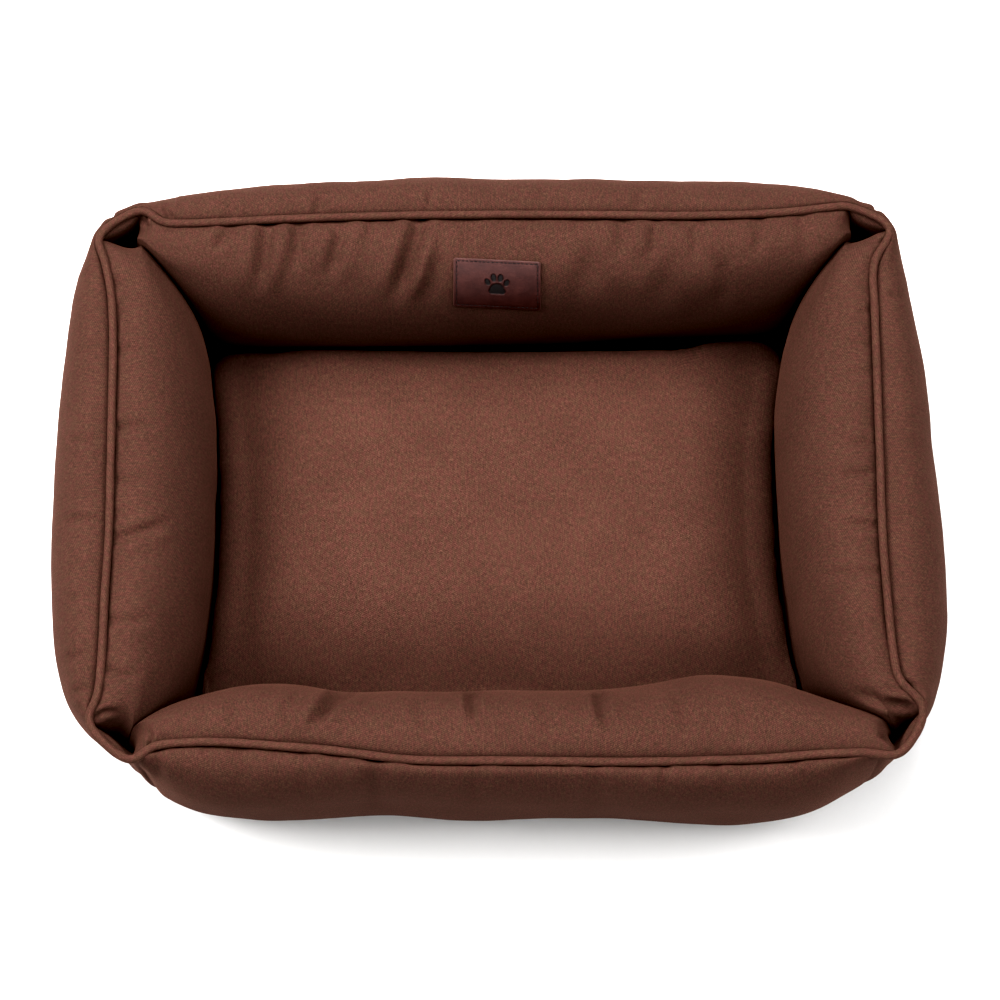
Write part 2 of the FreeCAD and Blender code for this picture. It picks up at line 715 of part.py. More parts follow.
# the arc of the rear inner panel, from the sheet
bq, hq = S["belly_mid"], S["seam_high"] - S["belly_high"]
tcq = -((bq * bq - hq * hq) / (bq * 2))
pin(tk, 0, 3, tcq, S["belly_high"])
for g, rq in (
    (0, bq + tcq + S["tag_lift"] + S["tag_thick"]),
    (1, bq + tcq + S["tag_lift"]),
):
    i = tk.addConstraint(con("Radius", g, rq.v))
    tk.setExpression(f"Constraints[{i}]", rq.t)
for g, pos, ang in ((2, 1, "tag_top"), (3, 1, "tag_low")):
    rq = bq + tcq + S["tag_lift"]
    x = Q(
        on(r0, math.radians(180 - S[ang].v))[0],
        f"({tcq.t} - {rq.t} * cos(Params.{ang} * 1deg))",
    )
    i = tk.addConstraint(con("DistanceX", -1, 1, g, pos, x.v))
    tk.setExpression(f"Constraints[{i}]", x.t)
for g in (2, 3):
    tk.addConstraint(con("PointOnObject", 0, 3, g))
doc.recompute()
tp = tag.newObject("PartDesign::Pad", "tag_pad")
tp.Profile = tk
tp.setExpression("Length", "Params.tag_long")
tp.Midplane = True
doc.recompute()
place_side(tag, "back")
tag.setExpression("Placement.Base.x", "0 - Params.tag_shift")
doc.recompute()
nodes["leather_tag"] = tag

# stitches round the tag: short bars of thread on its face
thread = []
rs = r1 + S["stitch_r"].v + 0.02
inset_a = S["stitch_inset"].v / rs
half_x = S["tag_long"].v / 2 - S["stitch_inset"].v
n_long = int(2 * half_x / S["stitch_pitch"].v)
for a in (a0 + inset_a, a1 - inset_a):
    y, z = on(rs, a)
    for k in range(n_long):
        x = -half_x + (k + 0.5) * 2 * half_x / n_long
        thread.append(
            Part.makeCylinder(
                S["stitch_r"].v, S["stitch_long"].v,
                V(x - S["stitch_long"].v / 2, y, z), V(1, 0, 0),
            )
        )
arc_long = rs * (a1 - a0 - 2 * inset_a)
n_up = int(arc_long / S["stitch_pitch"].v)
for x in (-half_x, half_x):
    for k in range(n_up):
        a = a0 + inset_a + (k + 0.5) / n_up * (a1 - a0 - 2 * inset_a)
        y, z = on(rs, a)
        d = V(0, -math.sin(a), math.cos(a))
        p = V(x, y, z) - d * (S["stitch_long"].v / 2)
        thread.append(
            Part.makeCylinder(S["stitch_r"].v, S["stitch_long"].v, p, d)
        )
st = doc.addObject("Part::Feature", "tag_stitches")
st.Label = "tag_stitches"
st.Shape = Part.makeCompound(thread)
st.Placement = FreeCAD.Placement(
    V(-S["tag_shift"].v, S["half_wide"].v, 0), FreeCAD.Rotation()
)
nodes["tag_stitches"] = st

# ---------------------------------------------------------------- checks and files
doc.recompute()
bad = [
    o.Name
    for o in doc.Objects
    if any(w in o.State for w in ("Invalid", "Error"))
]
if bad:
    raise RuntimeError(f"failed objects: {bad}")
for name, o in nodes.items():
    s = o.Shape
    if s.isNull() or not s.isValid() or not s.Solids:
        raise RuntimeError(f"{name} has no valid solid")

os.makedirs("parts", exist_ok=True)
for old in os.listdir("parts"):
    if old.endswith(".step"):
        os.remove(os.path.join("parts", old))
for name, o in nodes.items():
    o.Shape.exportStep(os.path.join("parts", f"{name}.step"))
    bb = o.Shape.BoundBox
    print(
        f"{name}: {len(o.Shape.Solids)} solid(s), {o.Shape.Volume / 1000:.2f} cm3, "
        f"x {bb.XMin:.1f}..{bb.XMax:.1f} y {bb.YMin:.1f}..{bb.YMax:.1f} z {bb.ZMin:.2f}..{bb.ZMax:.2f}"
    )
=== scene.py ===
import math

import bpy
import numpy as np
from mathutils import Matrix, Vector


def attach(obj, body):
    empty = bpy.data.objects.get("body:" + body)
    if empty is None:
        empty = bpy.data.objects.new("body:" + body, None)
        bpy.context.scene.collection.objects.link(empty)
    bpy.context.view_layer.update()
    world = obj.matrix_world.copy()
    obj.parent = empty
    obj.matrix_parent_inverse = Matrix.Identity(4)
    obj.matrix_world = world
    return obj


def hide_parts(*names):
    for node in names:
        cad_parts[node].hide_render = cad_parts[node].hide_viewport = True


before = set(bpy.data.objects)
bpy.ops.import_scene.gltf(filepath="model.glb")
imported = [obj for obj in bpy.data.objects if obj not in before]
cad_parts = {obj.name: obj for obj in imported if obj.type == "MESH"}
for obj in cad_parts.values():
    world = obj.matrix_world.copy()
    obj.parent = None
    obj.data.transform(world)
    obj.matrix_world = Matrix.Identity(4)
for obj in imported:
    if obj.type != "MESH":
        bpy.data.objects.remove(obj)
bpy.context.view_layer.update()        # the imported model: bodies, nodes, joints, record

MM = 0.001
rng = np.random.default_rng(7)


# ------------------------------------------------------------------ camera
# all work below is in millimetres in the row frame; metres only in the meshes
ELEV = math.radians(70.0)
TARGET = np.array([2.6, 9.4, 83.2])
DIST = 1872.0
FOCAL = 2472.0  # pixels of a 1000 pixel frame
CAM = TARGET + DIST * np.array([0.0, -math.cos(ELEV), math.sin(ELEV)])
FW = (TARGET - CAM) / np.linalg.norm(TARGET - CAM)
RT = np.array([1.0, 0.0, 0.0])
UP = np.cross(RT, FW)


def to_frame(p):
    """Where points fall in the 1000 x 1000 frame."""
    q = np.asarray(p, float) - CAM
    dep = q @ FW
    return np.stack([500 + FOCAL * (q @ RT) / dep, 500 - FOCAL * (q @ UP) / dep], -1)


cam_data = bpy.data.cameras.new("camera")
cam_data.sensor_width = 36.0
cam_data.lens = FOCAL / 1000 * 36.0
cam_data.clip_end = 20
cam = bpy.data.objects.new("camera", cam_data)
bpy.context.scene.collection.objects.link(cam)
cam.location = Vector(CAM * MM)
cam.rotation_euler = (Vector(TARGET * MM) - cam.location).to_track_quat("-Z", "Y").to_euler()
bpy.context.scene.camera = cam


# ------------------------------------------------------------------ helpers
def smooth(x, a=0.0, b=1.0):
    t = np.clip((np.asarray(x, float) - a) / (b - a), 0, 1)
    return t * t * (3 - 2 * t)


def spline(pts, n, closed=False, order=3):
    """A centripetal Catmull-Rom curve through the points, n samples even in length."""
    p = np.asarray(pts, float)
    if closed:
        ext = np.vstack([p[-1], p, p[0], p[1]])
    else:
        ext = np.vstack([2 * p[0] - p[1], p, 2 * p[-1] - p[-2]])
    out = []
    for i in range(1, len(ext) - 2):
        p0, p1, p2, p3 = ext[i - 1 : i + 3]
        t = [0.0]
        for a, b in ((p0, p1), (p1, p2), (p2, p3)):
            t.append(t[-1] + max(np.linalg.norm(b - a), 1e-6) ** 0.5)
        u = np.linspace(t[1], t[2], 24, endpoint=False)[:, None]
        a1 = (t[1] - u) / (t[1] - t[0]) * p0 + (u - t[0]) / (t[1] - t[0]) * p1
        a2 = (t[2] - u) / (t[2] - t[1]) * p1 + (u - t[1]) / (t[2] - t[1]) * p2
        a3 = (t[3] - u) / (t[3] - t[2]) * p2 + (u - t[2]) / (t[3] - t[2]) * p3
        b1 = (t[2] - u) / (t[2] - t[0]) * a1 + (u - t[0]) / (t[2] - t[0]) * a2
        b2 = (t[3] - u) / (t[3] - t[1]) * a2 + (u - t[1]) / (t[3] - t[1]) * a3
        out.append((t[2] - u) / (t[2] - t[1]) * b1 + (u - t[1]) / (t[2] - t[1]) * b2)
    c = np.vstack(out + ([out[0][:1]] if closed else [p[-1:]]))
    return even(c, n, closed)


def even(c, n, closed=False):
    """The same line with n samples even in length."""
    d = np.r_[0, np.cumsum(np.linalg.norm(np.diff(c, axis=0), axis=1))]
    s = np.linspace(0, d[-1], n + 1)[:-1] if closed else np.linspace(0, d[-1], n)
    return np.stack([np.interp(s, d, c[:, k]) for k in range(c.shape[1])], -1)


def blur_ring(c, times, pull=0.5):
    for _ in range(times):
        c = c + pull * ((np.roll(c, 1, 0) + np.roll(c, -1, 0)) / 2 - c)
    return c


def mesh_of(name, verts, faces, uvs=None, body="bed", mat=None, attrs=None):
    """A mesh piece in metres. uvs is one pair for each vertex, in metres of cloth."""
    me = bpy.data.meshes.new(name)
    me.from_pydata((np.asarray(verts) * MM).tolist(), [], [list(map(int, f)) for f in faces])
    me.validate()
    if uvs is not None:
        layer = me.uv_layers.new(name="cloth")
        idx = np.empty(len(me.loops), np.int32)
        me.loops.foreach_get("vertex_index", idx)
        layer.data.foreach_set("uv", (np.asarray(uvs)[idx] * MM).astype(np.float32).ravel())
    for key, vals in (attrs or {}).items():
        a = me.attributes.new(key, "FLOAT", "POINT")
        a.data.foreach_set("value", np.asarray(vals, np.float32).ravel())
    me.polygons.foreach_set("use_smooth", [True] * len(me.polygons))
    o = bpy.data.objects.new(name, me)
    bpy.context.scene.collection.objects.link(o)
    if mat is not None:
        me.materials.append(mat)
    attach(o, body)
    return o


def grid_faces(ni, nj, wrap=False, flip=False, first=0):
    """Quads of a grid stored i-major."""
    i = np.arange(ni if wrap else ni - 1)[:, None]
    j = np.arange(nj - 1)[None, :]
    i2 = (i + 1) % ni
    a, b, c, d = i * nj + j, i2 * nj + j, i2 * nj + j + 1, i * nj + j + 1
    f = np.stack([a, b, c, d], -1).reshape(-1, 4) + first
    return f[:, ::-1] if flip else f


def grid_uv(P, mid=None):
    """Lengths along and across a grid of points, as the cloth would be cut."""
    du = np.linalg.norm(np.diff(P, axis=0), axis=-1)
    u = np.concatenate([np.zeros((1, P.shape[1])), np.cumsum(du, 0)], 0)
    u -= u[P.shape[0] // 2][None]
    dv = np.linalg.norm(np.diff(P, axis=1), axis=-1)
    v = np.concatenate([np.zeros((P.shape[0], 1)), np.cumsum(dv, 1)], 1)
    return np.stack([u, v], -1)


def grid_normals(P, wrap=False):
    if wrap:
        du = np.roll(P, -1, 0) - np.roll(P, 1, 0)
    else:
        du = np.gradient(P, axis=0)
    dv = np.gradient(P, axis=1)
    n = np.cross(du, dv)
    ln = np.linalg.norm(n, axis=-1, keepdims=True)
    return n / np.maximum(ln, 1e-9)


def value_noise(x, y, seed=0):
    """Smooth noise from -1 to 1, period one unit."""
    r = np.random.default_rng(seed).random((64, 64)) * 2 - 1
    xi, yi = np.floor(x).astype(int), np.floor(y).astype(int)
    fx, fy = x - xi, y - yi
    fx, fy = fx * fx * (3 - 2 * fx), fy * fy * (3 - 2 * fy)
    g = lambda a, b: r[a % 64, b % 64]
    return (
        g(xi, yi) * (1 - fx) * (1 - fy) + g(xi + 1, yi) * fx * (1 - fy)
        + g(xi, yi + 1) * (1 - fx) * fy + g(xi + 1, yi + 1) * fx * fy
    )


def stroke_field(px, line, width, bank=0.45):
    """A crease along a line in the frame: -1 in its bed, with raised banks, fading at its ends."""
    L = spline(line, 60)
    d2 = ((px[..., None, :] - L) ** 2).sum(-1)
    k = d2.argmin(-1)
    d = np.sqrt(d2.min(-1))
    start = smooth(k / 59.0, 0.0, 0.5) if width > 11 else smooth(k / 59.0, -0.06, 0.10)
    end = start * smooth((59 - k) / 59.0, 0.0, 0.5)
    wide = np.asarray(width, float)
    bed = -np.exp(-((d / wide) ** 2))
    banks = bank * np.exp(-(((d - 1.9 * wide) / (1.1 * wide)) ** 2))
    return (bed + banks) * end


# ------------------------------------------------------------------ lines of the bed
ZP = 158.5  # the top seam, under the piping
# the piping's centre line, seen from above, clockwise from the rear left corner
BACK = [(-268.8, 214.9), (-251.5, 204.6), (-232, 203.6), (-214, 204.4), (-148.5, 207.4), (-73, 209.9),
        (2.6, 211.1), (78, 210.3), (153.7, 209.8), (199, 211.1), (229.5, 213.7), (252, 217.2), (266.4, 218.3)]
RIGHT = [(296.9, 200.2), (284.5, 173.9), (281.9, 161), (281.7, 140.3), (281.1, 99.7), (280.4, 59.7), (279.4, 12.5),
         (278.2, -41.6), (279, -90), (281, -132.4), (284.2, -153), (300.3, -174.1)]
FRONT = [(281.3, -206.9), (258, -206.2), (228.6, -207.4), (185.4, -210.7), (142.8, -211.9), (100, -213), (2.6, -212.3),
         (-58, -211.5), (-95, -207.5), (-117.7, -204.6), (-158, -201.2), (-191.4, -198.8), (-221, -199.2),
         (-240.7, -202), (-254.9, -211.4)]
LEFT = [(-285.9, -183.9), (-280.9, -164.5), (-279.4, -143.4), (-279.6, -87), (-279.3, -41.6), (-280.9, 12),
        (-282.6, 59.7), (-284.9, 115.8), (-288.2, 146.8), (-293.9, 171.5), (-299.4, 193.1)]
NR = 1600
pipe = spline(BACK + RIGHT + FRONT + LEFT, NR, closed=True)
pipe = even(np.vstack([blur_ring(pipe, 14), blur_ring(pipe, 14)[:1]]), NR, closed=True)

# the widest line of the outer panels, at height ZB
ZB = 112.0
BULGE = [
    (-284, 226), (-262, 236.5), (-227, 245), (-189, 250.5), (-151, 254), (-93, 257), (-36, 260), (2.6, 259),
    (79.5, 257), (130, 256.5), (175.6, 255), (205, 252), (233, 248), (262, 239), (284, 229.5), (298, 217.5),
    (307, 201), (312.5, 180), (316.5, 159.5), (321, 118), (324.5, 77), (327.5, 36.5), (329.5, -3), (330.5, -42.5),
    (329.5, -81), (326.5, -119), (317.5, -156.7), (306, -176), (291, -192), (274, -206), (256, -217),
    (238, -227), (214, -234), (190, -237), (163, -238), (120, -236), (74, -233.5), (2.6, -234), (-33, -233.5),
    (-60, -231.5), (-87, -230.5), (-113, -232.5), (-140, -235), (-176, -235.5), (-205, -233), (-221, -229.5), (-237, -222),
    (-253, -211), (-272, -198), (-290, -183), (-304.5, -168), (-313, -150), (-319.5, -119), (-324, -81),
    (-326.5, -42.5), (-328, -3), (-328.3, 36.5), (-327.8, 77), (-327, 118), (-323, 159.5), (-317.5, 180.6),
    (-309.5, 199), (-299, 215),
]
bulge = blur_ring(spline(BULGE, NR, closed=True), 20)

# rays that fan out round each corner and stand square to each side
CX, CY = 243.0, 168.0
FAN = 96


def rays():
    o, d = [], []
    def run(a, b, n, nrm):
        for t in np.linspace(0, 1, n, endpoint=False):
            o.append((a[0] + (b[0] - a[0]) * t, a[1] + (b[1] - a[1]) * t)); d.append(nrm)
    def fan(c, a0, a1):
        for t in np.linspace(0, 1, FAN, endpoint=False):
            a = math.radians(a0 + (a1 - a0) * t)
            o.append(c); d.append((math.cos(a), math.sin(a)))
    run((-CX, CY), (CX, CY), 250, (0, 1)); fan((CX, CY), 90, 0)
    run((CX, CY), (CX, -CY), 176, (1, 0)); fan((CX, -CY), 0, -90)
    run((CX, -CY), (-CX, -CY), 250, (0, -1)); fan((-CX, -CY), -90, -180)
    run((-CX, -CY), (-CX, CY), 176, (-1, 0)); fan((-CX, CY), 180, 90)
    return np.array(o, float), np.array(d, float)


RO, RD = rays()
NS = len(RO)


def reach(ring):
    """How far along each ray the ring is."""
    a, b = ring, np.roll(ring, -1, 0)
    e = b - a
    w = a[None] - RO[:, None]
    den = RD[:, None, 0] * e[None, :, 1] - RD[:, None, 1] * e[None, :, 0]
    den = np.where(np.abs(den) < 1e-12, 1e-12, den)
    r = (w[..., 0] * e[None, :, 1] - w[..., 1] * e[None, :, 0]) / den
    s = (w[..., 0] * RD[:, None, 1] - w[..., 1] * RD[:, None, 0]) / den
    ok = (s >= -1e-9) & (s <= 1 + 1e-9) & (r > 0)
    return np.where(ok, r, -1e9).max(1)


r_p = reach(pipe)
r_b = np.maximum(reach(bulge), r_p + 2.5)
# at the front corners the cloth is drawn in under the piping
tuck = np.zeros(NS)
for m in ((-273.5, -202.0), (291.5, -198.0)):
    tuck = np.maximum(tuck, 1 - smooth(np.linalg.norm(RO + RD * r_p[:, None] - np.array(m), axis=1), 8, 30))
r_b = r_b * (1 - tuck) + (r_p - 5.0) * tuck
ang = np.degrees(np.arctan2(RD[:, 1], RD[:, 0]))
corner = np.abs(np.sin(2 * np.radians(ang)))  # 0 on the sides, 1 on the diagonals
side_over = np.where(RD[:, 1] > 0.5, 47.0, np.where(RD[:, 1] < -0.5, 34.0, 50.0))
# the overhang above the base seam, eased along the ring
over = side_over * (1 - corner) + np.where(RD[:, 1] > 0, 44.0, 47.0) * corner
k = np.exp(-0.5 * (np.arange(-60, 61) / 24.0) ** 2); k /= k.sum()
over = np.convolve(np.r_[over[-60:], over, over[:60]], k, "valid")
r_f = np.maximum(r_b - over, 3.0)


def ring_xy(r):
    return RO + RD * r[:, None]


pipe_z = np.full(NS, ZP)
pp = ring_xy(r_p)
# the seam is not level: it dips a little at the corners and wanders on the sides
near_corner = np.zeros(NS)
MIDS = {"BL": (-284.1, 204.0), "BR": (281.6, 210.0), "FL": (-270.4, -197.6), "FR": (290.8, -190.5)}
for m in MIDS.values():
    near_corner = np.maximum(near_corner, np.exp(-(((pp - np.array(m)) ** 2).sum(1)) / 32.0 ** 2))


def seam_height(xy):
    xy = np.asarray(xy, float)
    nc = np.zeros(xy.shape[:-1])
    for m in MIDS.values():
        nc = np.maximum(nc, np.exp(-(((xy - np.array(m)) ** 2).sum(-1)) / 32.0 ** 2))
    wander = 0.9 * value_noise(xy[..., 0] / 47.0 + 9.3, xy[..., 1] / 47.0 + 4.1, 5)
    return ZP + wander * (1 - nc) - 2.0 * nc


pipe_z = seam_height(pp)

# ------------------------------------------------------------------ outer panels
F0 = math.radians(20)
NU, NL = 30, 34
rows = []
for t in np.linspace(0, 1, NU, endpoint=False):
    phi = -F0 + (math.pi / 2 + F0) * t
    D = (r_b - r_p) / (1 + math.sin(F0))
    H = (pipe_z - ZB) / math.cos(F0)
    r = r_b - D + D * math.sin(phi)
    z = ZB + H * math.cos(phi)
    rows.append(np.column_stack([ring_xy(r), z]))
for t in np.linspace(0, 1, NL):
    psi = math.pi / 2 * t
    power = 0.92 + 0.75 * tuck
    r = r_f + (r_b - r_f) * math.cos(psi) ** power if t < 1 else r_f
    z = ZB - (ZB - 1.2) * math.sin(psi) ** 1.0
    rows.append(np.column_stack([ring_xy(r), np.broadcast_to(z, (NS,))]))
outer = np.stack(rows, 1)  # ring x down


# ------------------------------------------------------------------ inner panels
ZI = 90.0
WALLS = {
    "back": dict(map=lambda a, n: (a, -n), line=BACK, belly=[(-240, -151), (-220, -146), (-193, -142), (-130, -139.5), (-76, -139),
                 (2.6, -143), (80, -146), (160, -149.5), (200, -153), (240, -160)], lo="BL", hi="BR"),
    "front": dict(map=lambda a, n: (a, n), line=FRONT, belly=[(-250, -163), (-221, -151.5), (-180, -142), (-142, -140.5), (-107, -146.5),
                  (-70, -145.5), (-17.6, -147), (2.6, -146), (75, -146), (110, -141), (149, -133.5), (186, -135), (220, -145), (250, -160)],
                  lo="FL", hi="FR"),
    "left": dict(map=lambda a, n: (n, a), line=LEFT, belly=[(-180, -236), (-140, -224), (-103, -216.5), (-60, -212), (-17, -210.7), (40, -212.5),
                 (88, -216.5), (134, -223), (165, -234), (190, -246)], lo="FL", hi="BL"),
    "right": dict(map=lambda a, n: (-n, a), line=RIGHT, belly=[(-180, -241), (-140, -229), (-103, -220.5), (-60, -214.5), (-17, -212), (40, -212),
                  (88, -214.5), (147, -225), (175, -236), (200, -250)], lo="FR", hi="BR"),
}
WELL = {"BL": (-219, 146), "BR": (224, 158), "FL": (-219, -147), "FR": (224, -143)}
CHAM = {  # the piping's outermost points on the long and on the short side of each corner
    "BL": {"back": BACK[0], "left": LEFT[-1]}, "BR": {"back": BACK[-1], "right": RIGHT[0]},
    "FL": {"front": FRONT[-1], "left": LEFT[0]}, "FR": {"front": FRONT[0], "right": RIGHT[-1]},
}


def bspline2(cp, per):
    """Clamped quadratic B-spline, per samples for each control point."""
    n = len(cp)
    out = []
    P = np.vstack([cp[:1], cp, cp[-1:]])
    for i in range(n):
        t = np.linspace(0, 1, per, endpoint=False)[:, None]
        a, b, c = P[i], P[i + 1], P[i + 2]
        out.append(0.5 * (a + b) + (b - a) * t + 0.5 * (a - 2 * b + c) * t * t)
    out.append((0.5 * (P[n] + P[n + 1]))[None])
    return np.vstack(out)


def near_pipe(pt):
    return pipe[((pipe - np.asarray(pt)) ** 2).sum(1).argmin()]


def inset_of(tag):
    """How far in from the piping the outer cloth has gone at each height of a corner, so the inner cloth stays inside it."""
    M = near_pipe(MIDS[tag])
    m = np.array(WELL[tag]) - M
    m = m / np.linalg.norm(m)
    i0 = int(((pp - M) ** 2).sum(1).argmin())
    near = outer[np.arange(i0 - 14, i0 + 15) % NS]
    ins = ((near[..., :2] - M) @ m).max(0)
    z = near[14, :, 2]
    order = np.argsort(z)
    return lambda h: float(np.interp(h, z[order], np.maximum(ins[order], 0)))


def build_inner(name, w):
    fwd = w["map"]
    inv = {"back": lambda x, y: (x, -y), "front": lambda x, y: (x, y), "left": lambda x, y: (y, x), "right": lambda x, y: (y, -x)}[name]
    # the piping line of this side in wall coordinates
    ends = {}
    for tag in ("lo", "hi"):
        c = w[tag]
        A = near_pipe(CHAM[c][name])
        ends[tag] = dict(A=np.array(inv(*A)), M=np.array(inv(*near_pipe(MIDS[c]))), W=np.array(inv(*WELL[c])), ins=inset_of(c))
    wp = np.stack(inv(pipe[:, 0], pipe[:, 1]), -1)
    a_lo, a_hi = ends["lo"]["A"][0], ends["hi"]["A"][0]
    sel = (wp[:, 0] >= a_lo) & (wp[:, 0] <= a_hi) & (wp[:, 1] < 0) & (wp[:, 1] < -150)
    seg = wp[sel]
    seg = seg[np.argsort(seg[:, 0])]
    bel = spline(w["belly"], 400)
    n_p = lambda a: np.interp(a, seg[:, 0], seg[:, 1])
    n_i = lambda a: np.interp(a, bel[:, 0], bel[:, 1])
    f0 = math.radians(18)
    levels = []
    for t in np.linspace(0, 1, 46, endpoint=False):
        phi = -f0 + (math.pi / 2 + f0) * t
        levels.append((1 - (1 - math.sin(phi)) / (1 + math.sin(f0)), math.cos(phi) / math.cos(f0), None))
    for t in np.linspace(0, 1, 26):
        psi = math.pi / 2 * t
        levels.append((1 - (0.19 if name == "back" else 0.13) * float(smooth(math.sin(psi), 0, 0.62)), None, math.sin(psi)))
    grid = []
    E_lines = {"lo": [], "hi": []}
    nst = 30
    for gy, up, down in levels:
        def nom(a):
            a = np.asarray(a, float)
            n = n_p(a) + (n_i(a) - n_p(a)) * gy
            xy = np.stack(fwd(a, n_p(a)), -1)
            zt = seam_height(xy)
            z = ZI + (zt - ZI) * up if up is not None else ZI - (ZI - 2.6) * down
            return np.stack([a, n, np.broadcast_to(z, a.shape)], -1)
        A_ = np.linspace(a_lo - 30, a_hi + 30, 3000)
        N_ = nom(A_)
        cps = {}
        for tag, sgn in (("lo", -1), ("hi", 1)):
            e = ends[tag]
            m = e["W"] - e["M"]; m = m / np.linalg.norm(m)
            perp = np.array([-m[1], m[0]])
            if perp[0] * sgn > 0:
                perp = -perp  # points back along the wall
            gap = 0.35
            side = (N_[:, :2] - e["M"]) @ perp - gap
            half = A_ * sgn > sgn * (a_lo + a_hi) / 2
            bad = np.where(half & (side < 0))[0]
            i = (bad.min() if sgn > 0 else bad.max()) if len(bad) else (len(A_) - 1 if sgn > 0 else 0)
            aK = A_[i]
            K = N_[i].copy()
            q = (K[:2] - e["M"]) @ m
            beta = float(smooth(q, 10, 34))
            qm = e["ins"](K[2]) + 6.0 if K[2] < 140 else 0.0
            qQ = max(21.0, qm + 13.0)
            qK = max(q, qQ + 8)
            T = 38.0
            def on_mitre(qq, z):
                return np.r_[e["M"] + m * qq + perp * gap, z]
            zl = K[2]
            # depth of the funnel at the corner for this level
            wv = float(smooth(gy if up is not None else 1.0, 0.0, 0.9))
            zA = float(seam_height(np.array(fwd(*e["A"]))))
            zE = zA - 0.5 - 62 * wv ** 1.1
            if up is None or zl < zE:
                zE = min(zE, zl)
            lam = 1 - wv
            tucked = (e["ins"](zE) + 5.0) * float(smooth(wv, 0.1, 0.6))
            E = np.r_[e["M"] + (e["A"] - e["M"]) * lam + m * max(5.0 * wv, tucked), zE]
            step = min(T, 0.42 * (qK - qQ) + 4)
            cB = [
                nom(aK - sgn * T), K if q > qQ + 8 else on_mitre(qK, zl), on_mitre(qK - step, zl),
                on_mitre(qQ + 0.30 * (qK - step - qQ), zl - 1.5 * wv), on_mitre(qQ - 3, zl * 0.8 + zE * 0.2 if zE < zl else zl),
                on_mitre(qQ - 12, zl * 0.25 + zE * 0.75) + np.r_[(e["A"] - e["M"]) * lam * 0.45, 0], E,
            ]
            aA = e["A"][0]
            cA = [nom(aA - sgn * 44), nom(aA - sgn * 32), nom(aA - sgn * 23), nom(aA - sgn * 15), nom(aA - sgn * 9), nom(aA - sgn * 4), E]
            for kk, f in ((4, 0.25), (5, 0.65)):
                cA[kk] = cA[kk] * (1 - f * smooth(gy, 0, .2)) + E * f * smooth(gy, 0, .2)
            cps[tag] = [c1 * (1 - beta) + c2 * beta for c1, c2 in zip(cA, cB)]
            E_lines[tag].append(E)
        s0, s1 = cps["lo"][0][0], cps["hi"][0][0]
        mid = nom(np.linspace(s0, s1, nst))
        cp = np.vstack([np.array(cps["lo"][::-1]), mid[1:-1], np.array(cps["hi"])])
        c = bspline2(cp, 6)
        xy = np.stack(fwd(c[:, 0], c[:, 1]), -1)
        grid.append(np.column_stack([xy, c[:, 2]]))
    E_w = {tag: np.array([np.r_[fwd(e[0], e[1]), e[2]] for e in E_lines[tag]]) for tag in E_lines}
    return np.stack(grid, 1), E_w  # along x down


inner, E_all = {}, {}
for name, w in WALLS.items():
    inner[name], E_all[name] = build_inner(name, w)

